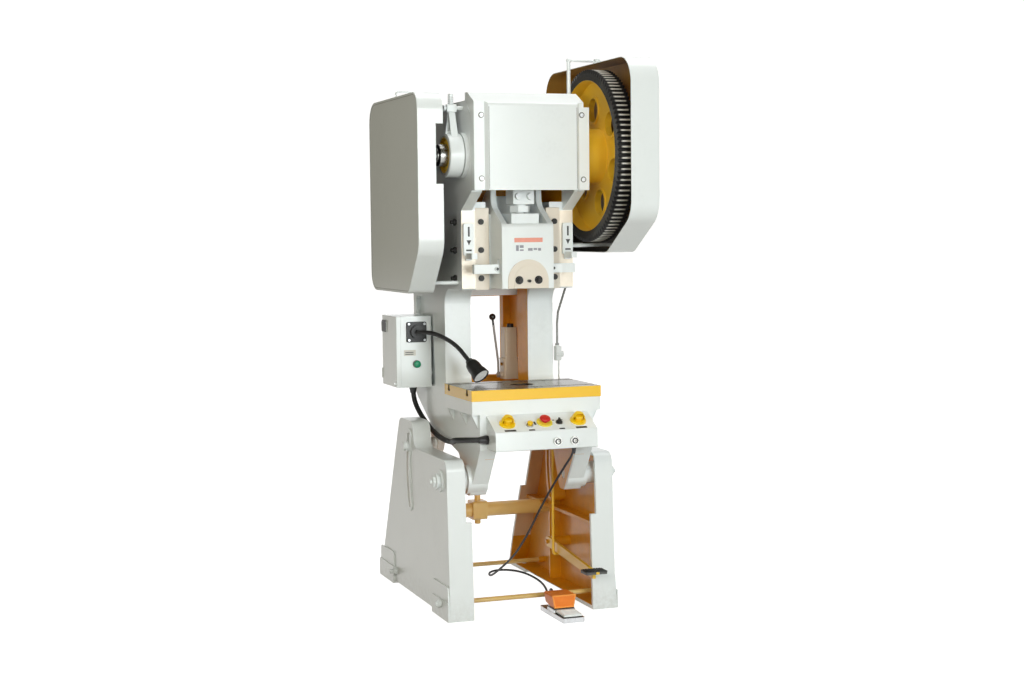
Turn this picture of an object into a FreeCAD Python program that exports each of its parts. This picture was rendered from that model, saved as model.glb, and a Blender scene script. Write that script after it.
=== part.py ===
import FreeCAD, Part
import math
import os
import Sketcher
from FreeCAD import Placement, Rotation, Vector

# Open-back inclinable eccentric press of about 25 t, with a gear drive.
#
# Frame of reference: X runs across the machine, -Y is the operator's side, Z is up. The origin lies
# on the floor, in the middle of the two legs' footprint. All lengths are millimetres.

doc = FreeCAD.newDocument("stamping_press")
sheet = doc.addObject("Spreadsheet::Sheet", "sizes")

DRIVING_SIZES = {
    # Legs: two mirrored castings, joined by two tie rods and a cross shaft.
    "leg_face_x": 363, "leg_wall": 16, "leg_flange_x": 261, "leg_neck_x": 285, "leg_neck_z": 400,
    "foot_half": 530, "leg_shoulder_y": -497, "leg_shoulder_z": 655, "leg_hump_front_y": -15,
    "leg_hump_rear_y": 190, "leg_hump_z": 765, "leg_rear_y": 258, "leg_rear_z": 623,
    "leg_heel_y": 473, "leg_heel_z": 151, "leg_round": 48, "leg_relief_half": 300,
    "leg_relief": 12, "leg_rib": 14, "leg_rib_z": 345, "leg_rib_front_y": -450,
    "leg_rib_rear_y": 70, "foot_pad": 6, "foot_pad_top": 141, "foot_step": 4, "foot_step_top": 78,
    "anchor_hole": 11, "anchor_x": 305, "anchor_y": 430,
    # Tilting joint between legs and press frame.
    "pivot_y": -415, "pivot_z": 563, "pivot_pin": 20, "pivot_boss": 46, "frame_boss": 60,
    "slot_arc": 470, "slot_half": 13, "slot_rim": 30, "slot_top": 17, "slot_foot": -20,
    "lock_angle": 11, "lock_bolt": 12, "running": 0.05, "side_gap": 0.5,
    # Rods between the legs.
    "tie_rod": 10, "tie_front_y": -430, "tie_rear_y": 275, "tie_z": 60, "tie_nut": 17,
    "tie_nut_thick": 16, "tie_end": 24, "tie_collar": 14, "tie_collar_long": 30, "cross_shaft": 32, "cross_y": 205, "cross_z": 325,
    "rest_block": 33, "rest_block_top": 368, "rest_block_foot": 285, "rest_screw": 13.5,
    "rest_screw_foot": 262, "rest_screw_top": 430, "rest_pad": 24,
    # Press frame: one C-shaped casting with two cheeks.
    "cheek_x": 245, "cheek_wall": 30, "bed_front_y": -580, "bed_top_z": 900, "bed_plate": 55,
    "bed_half": 278, "bed_wing_rear_y": -217, "bed_foot_z": 703, "toe_z": 497, "toe_front_y": -437,
    "toe_rear_y": -372, "belly_y": -301, "belly_z": 658, "belly_mid_y": 114, "belly_mid_z": 745,
    "belly_rear_y": 292, "belly_rear_z": 838, "back_y": 346, "back_foot_z": 880,
    "ledge_z": 1330, "ledge_y": 60, "head_rear_y": 130, "head_rear_z": 1700, "head_top_z": 2110,
    "head_front_y": -504, "brow_z": 1740, "way_top_z": 1667, "way_front_y": -368,
    "way_foot_z": 1340, "throat_y": -125, "throat_round": 65, "post_inner": 130,
    "post_depth": 131, "back_flange": 46, "back_inner": 165, "toe_inner": 175,
    "recess": 20, "bed_bore": 60, "gusset": 16,
    # Bolster plate.
    "bolster_half": 280, "bolster_front_y": -583, "bolster_depth": 366, "bolster_thick": 45,
    "bolster_bore": 50, "slot_mouth": 9, "slot_neck": 16, "slot_wide": 15, "slot_deep": 26,
    "slot_inset": 62,
    # Slide, guides and knock-out bar.
    "slide_y": -400, "slide_half": 112, "slide_front_y": -490, "slide_foot_z": 1346,
    "slide_step_z": 1611, "slide_top_z": 1750, "slide_rear_y": -240, "wing_half": 140,
    "wing_front_y": -350, "wing_rear_y": -280, "guide_gap": 0.3, "fork_half": 88,
    "gib_inner": 126, "gib_outer": 186, "gib_thick": 18, "gib_top_z": 1677, "guide_bolt": 8,
    "guide_bolt_head": 12, "guide_bolt_z": 1388, "guide_bolt_step": 116, "gib_bolt_x": 162,
    "side_bolt_y": -292, "clamp_arc": 88, "clamp_plate": 30, "clamp_block": 62,
    "clamp_block_z": 54, "shank_bore": 20, "shank_depth": 60, "clamp_bolt_x": 42,
    "clamp_bolt_z": 35, "bar_half": 221, "bar_z": 1427, "bar_height": 38, "bar_thick": 24,
    "bar_y": -443, "bar_lift": 19, "stop_x": 218, "stop_wide": 45, "stop_foot_z": 1482,
    "stop_top_z": 1614, "stop_front_y": -382,
    # Crank train.
    "crank_z": 1890, "throw": 32.5, "journal": 45, "crank_pin": 38, "pin_half": 42, "web": 72,
    "web_outer": 78, "bush": 60, "bush_inner_x": 150, "boss_x": 262, "boss": 92,
    "rod_half": 40, "rod_wall": 22, "rod_swing": 34, "rod_slack": 8, "rod_neck": 46,
    "rod_foot_z": 1690, "screw": 30, "screw_top_z": 1810, "ball": 34, "ball_z": 1572,
    "cap": 60, "cap_top_z": 1652, "lock_nut": 44, "lock_nut_foot_z": 1658,
    "lock_nut_top_z": 1684, "adjust": 55,
    # Drive: flywheel and pinion on one shaft, gear on the crankshaft.
    "module": 7, "gear_teeth": 100, "pinion_teeth": 19, "gear_x": 293, "gear_face": 80,
    "gear_rim": 312, "gear_web_x": 345, "gear_web": 18, "gear_hub": 114, "gear_bore": 75,
    "gear_hole": 50, "gear_hole_arc": 195, "pinion_shaft": 30, "pinion_boss": 58,
    "flywheel": 222, "flywheel_x": -456, "flywheel_face": 78, "belt_pitch": 25,
    "pulley": 56, "motor_y": 165, "motor_z": 1442, "motor_body": 84, "motor_length": 250,
    # Band brake on the crankshaft's left end.
    "drum": 80, "drum_left_x": -326, "drum_right_x": -264, "band": 9, "band_gap": 0.3,
    "lug_top": 205,
    # Sheet-metal covers.
    "sheet_wall": 3, "crank_cover_half": 247.5, "crank_cover_y": -568, "crank_cover_foot": 1745,
    "crank_cover_brow": 2092, "crank_cover_top": 2141, "crank_cover_step": 190,
    "gear_cover_x": 330, "gear_cover_out": 453, "gear_cover_front": -790,
    "gear_cover_rear": 160, "gear_cover_top": 2275, "gear_cover_foot": 1488,
    "gear_cover_chin": 1640, "gear_cover_knee": -533, "belt_cover_x": -360,
    "belt_cover_out": -465, "belt_cover_front": -500, "belt_cover_rear": 245,
    "belt_cover_top": 2140, "belt_cover_foot": 1330, "belt_cover_chin": 185,
    "belt_cover_toe": 160, "stay": 8,
    # Operator's panel and its buttons.
    "panel_half": 218, "panel_foot_z": 708, "panel_nose_y": -698, "panel_ridge_y": -693,
    "panel_ridge_z": 784, "panel_top_z": 842, "button_gap": 0.3,
    # Electric box and lamp.
    "box_left_x": -402, "box_front_y": 82, "box_rear_y": 313, "box_foot_z": 904,
    "box_top_z": 1214, "door_depth": 19, "lamp_x": -313, "lamp_z": 1146, "gooseneck": 9,
    "lamp_head": 34, "lamp_length": 96,
    # Foot controls and lubrication.
    "lever_x": 250, "lever_y": -43, "lever_z": 205, "lever_pin": 10,
    "pull_rod": 6, "pull_rod_x": 230, "pull_rod_y": -148, "pull_rod_top": 735, "switch_x": 102,
    "switch_y": -580, "switch_half": 48, "switch_length": 270, "pump_x": 150, "pump_y": 160,
    "pump_foot_z": 918, "pipe": 5, "cord": 4.8, "conduit": 11,
}

for row, (alias, number) in enumerate(DRIVING_SIZES.items(), start=1):
    sheet.set("A%d" % row, alias.replace("_", " "))
    sheet.set("B%d" % row, str(number))
    sheet.setAlias("B%d" % row, alias)
doc.recompute()


# ---------------------------------------------------------------------------------------------
# Sizes that remember their formula
# ---------------------------------------------------------------------------------------------

class Size:
    """A length or angle with the formula it comes from, so that a property can be bound to it."""

    def __init__(self, value, formula):
        self.value = float(value)
        self.formula = formula

    def __add__(self, other):
        return joined(self, "+", size(other), self.value + float(other))

    def __radd__(self, other):
        return size(other) + self

    def __sub__(self, other):
        return joined(self, "-", size(other), self.value - float(other))

    def __rsub__(self, other):
        return size(other) - self

    def __mul__(self, other):
        return joined(self, "*", size(other), self.value * float(other))

    def __rmul__(self, other):
        return size(other) * self

    def __truediv__(self, other):
        return joined(self, "/", size(other), self.value / float(other))

    def __neg__(self):
        return Size(-self.value, "(-%s)" % self.formula)

    def __float__(self):
        return self.value


def size(number):
    return number if isinstance(number, Size) else Size(number, "(%.9g)" % number)


def joined(left, sign, right, value):
    return Size(value, "(%s %s %s)" % (left.formula, sign, right.formula))


def sine(degrees):
    degrees = size(degrees)
    return Size(math.sin(math.radians(degrees.value)), "sin(%s)" % degrees.formula)


def cosine(degrees):
    degrees = size(degrees)
    return Size(math.cos(math.radians(degrees.value)), "cos(%s)" % degrees.formula)


class Sheet:
    """Hands out the cells of the sheet as sizes, by their alias."""

    def __getattr__(self, alias):
        return Size(float(sheet.get(alias)), "sizes." + alias)


S = Sheet()


def bind(thing, prop, number):
    """Gives a property its value, and ties it to the sheet when the value comes from there."""
    number = size(number)
    if "." not in prop:
        setattr(thing, prop, number.value)
    if "sizes." in number.formula:
        thing.setExpression(prop, number.formula)


TURNS = {
    "X": Rotation(Vector(0, 0, 1), Vector(1, 0, 0)),
    "Y": Rotation(Vector(0, 0, 1), Vector(0, 1, 0)),
    "Z": Rotation(),
}


def place(thing, x, y, z, turn=Rotation()):
    spot = [size(x), size(y), size(z)]
    thing.Placement = Placement(Vector(*[number.value for number in spot]), turn)
    for axis, number in zip("xyz", spot):
        bind(thing, "Placement.Base." + axis, number)
    return thing


# ---------------------------------------------------------------------------------------------
# Sketches: outlines are lists of corners (a, b) or (a, b, radius)
# ---------------------------------------------------------------------------------------------

ORIGIN = (-1, 1)
UPRIGHT = Vector(0, 0, 1)


def rounding(before, corner, after, radius):
    """Where a round of this radius leaves both sides of a corner, and its centre."""
    back = (before - corner).normalize()
    ahead = (after - corner).normalize()
    half = back.getAngle(ahead) / 2
    reach = radius / math.tan(half)
    middle = (back + ahead).normalize()
    return corner + back * reach, corner + ahead * reach, corner + middle * (radius / math.sin(half))


def turns_left(before, corner, after):
    return (corner - before).cross(after - corner).z > 0


class Drawing:
    """The curves of one sketch and the rules that tie them to the sizes."""

    def __init__(self, sketch):
        self.sketch = sketch
        self.rules = []
        self.bound = {}

    def measure(self, number, kind, *terms):
        if "sizes." in number.formula:
            self.bound[len(self.rules)] = number.formula
        self.rules.append(Sketcher.Constraint(kind, *terms, number.value))

    def rule(self, kind, *terms):
        self.rules.append(Sketcher.Constraint(kind, *terms))

    def pin(self, curve, end, a, b):
        """Holds one point of a curve at its distances from the sketch's origin."""
        for kind, axis, number in (("DistanceX", -2, size(a)), ("DistanceY", -1, size(b))):
            if abs(number.value) < 1e-7:
                self.rule("PointOnObject", curve, end, axis)
            elif number.value > 0:
                self.measure(number, kind, *ORIGIN, curve, end)
            else:
                self.measure(-number, kind, curve, end, *ORIGIN)

    def polygon(self, corners):
        spots = [Vector(float(corner[0]), float(corner[1]), 0) for corner in corners]
        count = len(corners)
        starts, ends, centres = list(spots), list(spots), {}
        for i, corner in enumerate(corners):
            if len(corner) == 3:
                ends[i], starts[i], centres[i] = rounding(
                    spots[i - 1], spots[i], spots[(i + 1) % count], float(corner[2]))
        lines = [self.sketch.addGeometry(Part.LineSegment(starts[i], ends[(i + 1) % count]), False)
                 for i in range(count)]
        for i, corner in enumerate(corners):
            arriving, leaving = lines[i - 1], lines[i]
            if i not in centres:
                self.rule("Coincident", arriving, 2, leaving, 1)
                self.pin(leaving, 1, corner[0], corner[1])
                continue
            left = turns_left(spots[i - 1], spots[i], spots[(i + 1) % count])
            first, last = (ends[i], starts[i]) if left else (starts[i], ends[i])
            arc = self.arc(centres[i], float(corner[2]), first - centres[i], last - centres[i])
            tip = self.sketch.addGeometry(Part.Point(spots[i]), True)
            self.pin(tip, 1, corner[0], corner[1])
            self.rule("PointOnObject", tip, 1, arriving)
            self.rule("PointOnObject", tip, 1, leaving)
            self.rule("Tangent", arriving, 2, arc, 1 if left else 2)
            self.rule("Tangent", arc, 2 if left else 1, leaving, 1)
            self.measure(size(corner[2]), "Radius", arc)

    def arc(self, centre, radius, first, last):
        start, stop = math.atan2(first.y, first.x), math.atan2(last.y, last.x)
        if stop < start:
            stop += 2 * math.pi
        circle = Part.Circle(centre, UPRIGHT, radius)
        return self.sketch.addGeometry(Part.ArcOfCircle(circle, start, stop), False)

    def circle(self, a, b, radius):
        spot = Vector(float(a), float(b), 0)
        curve = self.sketch.addGeometry(Part.Circle(spot, UPRIGHT, float(radius)), False)
        self.pin(curve, 3, a, b)
        self.measure(size(radius), "Radius", curve)

    def arc_slot(self, a, b, radius, half, low, high):
        """A slot of even width along an arc about (a, b), from one angle to another."""
        hub = Vector(float(a), float(b), 0)
        rays = [Vector(float(cosine(angle)), float(sine(angle)), 0) for angle in (low, high)]
        outer = self.arc(hub, float(radius) + float(half), *rays)
        inner = self.arc(hub, float(radius) - float(half), *rays)
        caps = [self.arc(hub + rays[1] * float(radius), float(half), rays[1], -rays[1]),
                self.arc(hub + rays[0] * float(radius), float(half), -rays[0], rays[0])]
        self.pin(outer, 3, a, b)
        self.rule("Coincident", inner, 3, outer, 3)
        self.rule("Tangent", outer, 2, caps[0], 1)
        self.rule("Tangent", inner, 2, caps[0], 2)
        self.rule("Tangent", inner, 1, caps[1], 1)
        self.rule("Tangent", outer, 1, caps[1], 2)
        self.measure(size(radius) + half, "Radius", outer)
        self.measure(size(radius) - half, "Radius", inner)
        for cap, angle in zip(caps, (high, low)):
            self.measure(size(b) + size(radius) * sine(angle), "DistanceY", *ORIGIN, cap, 3)

    def finish(self):
        self.sketch.addConstraint(self.rules)
        for index, formula in self.bound.items():
            self.sketch.setExpression("Constraints[%d]" % index, formula)


def outline(*corners):
    return lambda drawing: drawing.polygon(corners)


def oblong(a_low, a_high, b_low, b_high, *radius):
    return outline((a_low, b_low, *radius), (a_high, b_low, *radius),
                   (a_high, b_high, *radius), (a_low, b_high, *radius))


def ring(a, b, radius):
    return lambda drawing: drawing.circle(a, b, radius)


def arc_slot(*terms):
    return lambda drawing: drawing.arc_slot(*terms)


def inset(corners, wall):
    """The corners of the same outline, drawn in by a wall's thickness on every side."""
    spots = [Vector(float(corner[0]), float(corner[1]), 0) for corner in corners]
    wall = float(wall)
    drawn_in = []
    for i, corner in enumerate(corners):
        before, here, after = spots[i - 1], spots[i], spots[(i + 1) % len(spots)]
        arriving = UPRIGHT.cross(here - before).normalize()
        leaving = UPRIGHT.cross(after - here).normalize()
        moved = here + (arriving + leaving) * (wall / (1 + arriving.dot(leaving)))
        radius = []
        if len(corner) == 3:
            inward = -wall if turns_left(before, here, after) else wall
            radius = [max(float(corner[2]) + inward, 2)]
        drawn_in.append((moved.x, moved.y, *radius))
    return drawn_in


# ---------------------------------------------------------------------------------------------
# Solids
# ---------------------------------------------------------------------------------------------

PLANES = {"XY": ("XY_Plane", 1), "XZ": ("XZ_Plane", -1), "YZ": ("YZ_Plane", 1)}


class Casting:
    """A body built from sketches on its own base planes, each spanning two levels."""

    def __init__(self, name):
        self.body = doc.addObject("PartDesign::Body", name)

    def sketch(self, plane, level, outlines):
        role, way = PLANES[plane]
        sketch = self.body.newObject("Sketcher::SketchObject", "Outline")
        base = next(item for item in self.body.Origin.OriginFeatures if item.Role == role)
        sketch.AttachmentSupport = [(base, "")]
        sketch.MapMode = "FlatFace"
        offset = size(level) if way > 0 else -size(level)
        sketch.AttachmentOffset = Placement(Vector(0, 0, offset.value), Rotation())
        bind(sketch, "AttachmentOffset.Base.z", offset)
        drawing = Drawing(sketch)
        for draw in outlines:
            draw(drawing)
        drawing.finish()
        return sketch

    def feature(self, kind, plane, low, high, outlines):
        start = low if PLANES[plane][1] > 0 else high
        sketch = self.sketch(plane, start, outlines)
        feature = self.body.newObject(kind, kind.split("::")[1])
        feature.Profile = sketch
        bind(feature, "Length", size(high) - low)
        sketch.Visibility = False
        return feature

    def pad(self, plane, low, high, *outlines):
        return self.feature("PartDesign::Pad", plane, low, high, outlines)

    def cut(self, plane, low, high, *outlines):
        pocket = self.feature("PartDesign::Pocket", plane, low, high, outlines)
        pocket.Reversed = True
        return pocket

    def spin(self, kind, corners):
        """Turns an outline of (radius, height) corners about the body's Z axis."""
        sketch = self.sketch("XZ", 0, [outline(*corners)])
        feature = self.body.newObject(kind, kind.split("::")[1])
        feature.Profile = sketch
        feature.ReferenceAxis = (sketch, ["V_Axis"])
        feature.Angle = 360
        return feature


def turned(name, corners, axis="Z", x=0, y=0, z=0):
    """A turned piece: its corners are (radius, distance along the axis)."""
    piece = Casting(name)
    piece.spin("PartDesign::Revolution", corners)
    return place(piece.body, x, y, z, TURNS[axis])


def rod(name, axis, low, high, radius, x=0, y=0, z=0):
    solid = doc.addObject("Part::Cylinder", name)
    bind(solid, "Radius", radius)
    bind(solid, "Height", size(high) - low)
    start = {"X": (low, y, z), "Y": (x, low, z), "Z": (x, y, low)}[axis]
    return place(solid, *start, TURNS[axis])


def hexagon(name, axis, low, high, radius, x=0, y=0, z=0):
    solid = doc.addObject("Part::Prism", name)
    solid.Polygon = 6
    bind(solid, "Circumradius", radius)
    bind(solid, "Height", size(high) - low)
    start = {"X": (low, y, z), "Y": (x, low, z), "Z": (x, y, low)}[axis]
    return place(solid, *start, TURNS[axis])


def box(name, x, y, z):
    solid = doc.addObject("Part::Box", name)
    for side, (low, high) in zip(("Length", "Width", "Height"), (x, y, z)):
        bind(solid, side, size(high) - low)
    return place(solid, x[0], y[0], z[0])


def ball(name, radius, x=0, y=0, z=0):
    solid = doc.addObject("Part::Sphere", name)
    bind(solid, "Radius", radius)
    return place(solid, x, y, z)


def fused(name, *solids):
    whole = doc.addObject("Part::MultiFuse", name)
    whole.Shapes = list(solids)
    whole.Refine = True
    return whole


def without(name, solid, *tools):
    left = doc.addObject("Part::Cut", name)
    left.Base = solid
    left.Tool = tools[0] if len(tools) == 1 else fused(name + "_tools", *tools)
    left.Refine = True
    return left


def group(name, solids):
    """Like fasteners, kept together as separate solids."""
    several = doc.addObject("Part::Compound", name)
    several.Links = list(solids)
    return several


def mirrored(name, solid):
    """The same piece on the other side of the machine's middle plane."""
    other = doc.addObject("Part::Mirroring", name)
    other.Source = solid
    other.Normal = Vector(1, 0, 0)
    return other


def formed(name, shape):
    feature = doc.addObject("Part::Feature", name)
    feature.Shape = shape
    return feature


NODES = {}


def node(name, thing):
    """Keeps a finished piece under the name that its file gets."""
    solid = thing.body if isinstance(thing, Casting) else thing
    solid.Label = name
    NODES[name] = solid
    return solid


SIDES = (-1, 1)


# ---------------------------------------------------------------------------------------------
# Base: legs, rods and the rest for the tilted frame
# ---------------------------------------------------------------------------------------------

LEG_OUTLINE = [
    (-S.foot_half, 0), (S.foot_half, 0), (S.leg_heel_y, S.leg_heel_z), (S.leg_rear_y, S.leg_rear_z),
    (S.leg_hump_rear_y, S.leg_hump_z, S.leg_round), (S.leg_hump_front_y, S.leg_hump_z, S.leg_round),
    (S.leg_hump_front_y - 20, S.leg_shoulder_z, S.leg_round),
    (S.leg_shoulder_y, S.leg_shoulder_z, S.leg_round)]


def leg_casting(name):
    """A ribbed plate with a flange all round, a pivot boss and a curved slot for the lock bolt."""
    leg = Casting(name)
    web_x = S.leg_face_x - S.leg_wall
    rim_x = S.leg_face_x + S.foot_pad
    step_x = rim_x + S.foot_step
    leg.pad("YZ", S.leg_flange_x, S.leg_face_x, outline(*LEG_OUTLINE))
    leg.cut("YZ", S.leg_flange_x, web_x, outline(*inset(LEG_OUTLINE, S.leg_wall)))
    leg.cut("YZ", S.leg_flange_x, S.leg_neck_x,
            oblong(-S.foot_half - 1, S.foot_half + 1, S.leg_neck_z, S.leg_hump_z + 1))
    rib = S.leg_rib / 2
    leg.pad("YZ", S.leg_neck_x + 10, web_x,
            oblong(-S.foot_half + 24, S.leg_rear_y + 110, S.leg_rib_z - rib, S.leg_rib_z + rib))
    for rib_y, top in ((S.leg_rib_front_y, S.leg_rib_z), (S.leg_rib_rear_y, S.leg_hump_z - 60)):
        leg.pad("YZ", S.leg_neck_x + 10, web_x, oblong(rib_y - rib, rib_y + rib, S.leg_wall - 2, top))
    for heel, inner in ((-S.foot_half, -S.leg_relief_half), (S.foot_half, S.leg_relief_half)):
        low, high = (heel, inner) if heel.value < 0 else (inner, heel)
        lean = S.foot_pad_top * 0.12
        top = [(high - lean if heel.value > 0 else high, S.foot_pad_top, 14),
               (low if heel.value > 0 else low + lean, S.foot_pad_top, 14)]
        leg.pad("YZ", S.leg_face_x, rim_x, outline((low, 0), (high, 0), *top))
        leg.pad("YZ", rim_x - 1, step_x, oblong(low, high, 0, S.foot_step_top, 4))
    leg.cut("YZ", S.leg_flange_x, step_x,
            oblong(-S.leg_relief_half, S.leg_relief_half, -1, S.leg_relief))
    leg.pad("YZ", S.leg_flange_x, rim_x + 2, ring(S.pivot_y, S.pivot_z, S.pivot_boss))
    leg.cut("YZ", S.leg_flange_x, rim_x + 2, ring(S.pivot_y, S.pivot_z, S.pivot_pin))
    leg.pad("YZ", S.leg_neck_x, rim_x, arc_slot(
        S.pivot_y, S.pivot_z, S.slot_arc, S.slot_rim, S.slot_foot, S.slot_top))
    leg.cut("YZ", S.leg_neck_x, rim_x, arc_slot(
        S.pivot_y, S.pivot_z, S.slot_arc, S.slot_half, S.slot_foot, S.slot_top))
    leg.pad("YZ", web_x - S.tie_collar_long, web_x + 1, ring(S.tie_front_y, S.tie_z, S.tie_collar),
            ring(S.tie_rear_y, S.tie_z, S.tie_collar))
    leg.cut("YZ", web_x - S.tie_collar_long - 1, step_x,
            ring(S.tie_front_y, S.tie_z, S.tie_rod + S.running),
            ring(S.tie_rear_y, S.tie_z, S.tie_rod + S.running))
    leg.cut("YZ", S.leg_flange_x, web_x, ring(S.cross_y, S.cross_z, S.cross_shaft + S.running))
    leg.cut("XY", -1, S.leg_wall + 1, ring(S.anchor_x, -S.anchor_y, S.anchor_hole),
            ring(S.anchor_x, S.anchor_y, S.anchor_hole))
    return leg


left_cast = leg_casting("left_leg_casting")
node("left_leg", mirrored("left_leg", left_cast.body))

right_cast = leg_casting("right_leg_casting")
right_cast.pad("YZ", S.lever_x + 14, S.leg_face_x - S.leg_wall, ring(S.lever_y, S.lever_z, 22))
right_cast.pad("YZ", S.lever_x - 16, S.lever_x + 14, ring(S.lever_y, S.lever_z, S.lever_pin))
node("right_leg", right_cast)

node("cross_shaft", without(
    "cross_shaft",
    rod("cross_bar", "X", S.leg_wall - S.leg_face_x, S.leg_face_x - S.leg_wall, S.cross_shaft,
        y=S.cross_y, z=S.cross_z),
    rod("cross_hole", "Z", S.cross_z - 50, S.cross_z + 50, S.rest_screw + S.running, y=S.cross_y)))

rest = Casting("tilt_rest_block")
rest.pad("YZ", -S.rest_block, S.rest_block, outline(
    (S.cross_y - 44, S.rest_block_foot, 12), (S.cross_y + 44, S.rest_block_foot, 12),
    (S.cross_y + 44, S.rest_block_top, 12), (S.cross_y - 44, S.rest_block_top, 12)))
rest.cut("YZ", -S.rest_block, S.rest_block, ring(S.cross_y, S.cross_z, S.cross_shaft + S.running))
rest.cut("XY", S.rest_block_foot - 1, S.rest_block_top + 1,
         ring(0, S.cross_y, S.rest_screw + S.running))
node("tilt_rest_block", rest)

node("tilt_rest_screw", turned("tilt_rest_screw", [
    (0, S.rest_screw_foot), (S.rest_screw, S.rest_screw_foot, 2), (S.rest_screw, S.rest_screw_top - 14),
    (S.rest_pad, S.rest_screw_top - 14), (S.rest_pad, S.rest_screw_top, 5), (0, S.rest_screw_top)],
    y=S.cross_y))

foot_face = S.leg_face_x + S.foot_pad + S.foot_step
rod_end = foot_face + S.tie_end
TIE_PLACES = (S.tie_front_y, S.tie_rear_y)
tie_rods = []
for y in TIE_PLACES:
    outer = foot_face if y.value < -S.leg_relief_half.value else S.leg_face_x
    tie_rods.append(fused(
        "tie_rod_and_nuts", rod("tie_rod", "X", -rod_end, rod_end, S.tie_rod, y=y, z=S.tie_z),
        hexagon("tie_nut", "X", outer, outer + S.tie_nut_thick, S.tie_nut, y=y, z=S.tie_z),
        hexagon("tie_nut", "X", -outer - S.tie_nut_thick, -outer, S.tie_nut, y=y, z=S.tie_z)))
node("tie_rods", group("tie_rods", tie_rods))

pivot_reach = S.leg_face_x + S.foot_pad + 2
node("pivot_pins", group("pivot_pins", [
    turned("pivot_pin", [
        (0, side * (S.toe_inner + 6)), (S.pivot_pin - S.running, side * (S.toe_inner + 6)),
        (S.pivot_pin - S.running, side * pivot_reach), (S.pivot_pin + 9, side * pivot_reach),
        (S.pivot_pin + 9, side * (pivot_reach + 12)), (0, side * (pivot_reach + 12))],
        "X", y=S.pivot_y, z=S.pivot_z) for side in SIDES]))


# ---------------------------------------------------------------------------------------------
# Press frame
# ---------------------------------------------------------------------------------------------

lock_y = S.pivot_y + S.slot_arc * cosine(S.lock_angle)
lock_z = S.pivot_z + S.slot_arc * sine(S.lock_angle)
pinion_y = S.slide_y + S.module * (S.gear_teeth + S.pinion_teeth) / 2

frame = Casting("press_frame")
FRAME_OUTLINE = [
    (S.bed_front_y, S.bed_foot_z), (S.toe_front_y, S.toe_z, 24), (S.toe_rear_y, S.toe_z, 24),
    (S.belly_y, S.belly_z, 40), (S.belly_mid_y, S.belly_mid_z), (S.belly_rear_y, S.belly_rear_z, 60),
    (S.back_y, S.back_foot_z, 20), (S.back_y, S.ledge_z, 20), (S.ledge_y, S.ledge_z, 30),
    (S.ledge_y, S.head_rear_z - 110, 60), (S.head_rear_y, S.head_rear_z, 40),
    (S.head_rear_y, S.head_top_z - 90, 50), (S.head_rear_y - 90, S.head_top_z, 50),
    (S.head_front_y + 60, S.head_top_z, 20), (S.head_front_y, S.head_top_z - 70, 20),
    (S.head_front_y, S.brow_z), (S.way_front_y, S.way_top_z), (S.way_front_y, S.way_foot_z, 8),
    (S.throat_y, S.way_foot_z, S.throat_round), (S.throat_y, S.bed_top_z, S.throat_round),
    (S.bed_front_y, S.bed_top_z)]
frame.pad("YZ", -S.cheek_x, S.cheek_x, outline(*FRAME_OUTLINE))

post_rear = S.throat_y + S.post_depth
cheek_in = S.cheek_x - S.recess - 25
# Hollow between the cheeks of the posts and behind the guides, open to the rear.
frame.cut("YZ", -cheek_in, cheek_in, outline(
    (post_rear, S.belly_mid_z - 40), (S.belly_mid_y - 12, S.belly_mid_z + 30),
    (S.belly_rear_y - 20, S.belly_rear_z + 34), (S.back_y - S.back_flange, S.bed_top_z, 20),
    (S.back_y - S.back_flange, S.ledge_z - 30, 20), (S.ledge_y - 30, S.ledge_z - 30),
    (S.ledge_y - 30, S.way_top_z - 27, 20), (S.throat_y - 75, S.way_top_z - 27, 20),
    (S.throat_y - 75, S.way_foot_z + 60, 20), (post_rear, S.way_foot_z + 60, 20)))
# Passage between the posts, from the front and through the rear flange.
frame.cut("XZ", S.throat_y - 70, post_rear + 1,
          oblong(-S.post_inner, S.post_inner, S.bed_top_z, S.way_foot_z - 6))
frame.cut("XZ", S.back_y - S.back_flange - 1, S.back_y + 1,
          oblong(-S.back_inner, S.back_inner, S.bed_top_z + 26, S.ledge_z - 34, 14))
# Bed: hollow below its plate, open downwards between the toes.
bed_floor = S.bed_top_z - S.bed_plate
frame.cut("YZ", -(S.cheek_x - S.cheek_wall), S.cheek_x - S.cheek_wall, outline(
    (S.bed_front_y + S.cheek_wall, S.bed_foot_z - 1), (S.belly_y + 90, S.bed_foot_z - 1),
    (post_rear + 1, S.belly_mid_z - 20), (post_rear + 1, bed_floor),
    (S.bed_front_y + S.cheek_wall, bed_floor)))
frame.cut("YZ", -S.toe_inner, S.toe_inner, oblong(
    S.bed_front_y + S.cheek_wall, post_rear + 30, S.toe_z - 1, bed_floor - 40))
frame.cut("YZ", -S.toe_inner, S.toe_inner, outline(
    (S.bed_front_y - 1, S.toe_z - 1), (S.belly_y, S.toe_z - 1), (S.belly_y, S.bed_foot_z),
    (S.bed_front_y - 1, S.bed_foot_z)))
frame.cut("XY", bed_floor - 1, S.bed_top_z + 1, ring(0, S.slide_y, S.bed_bore))
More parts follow.
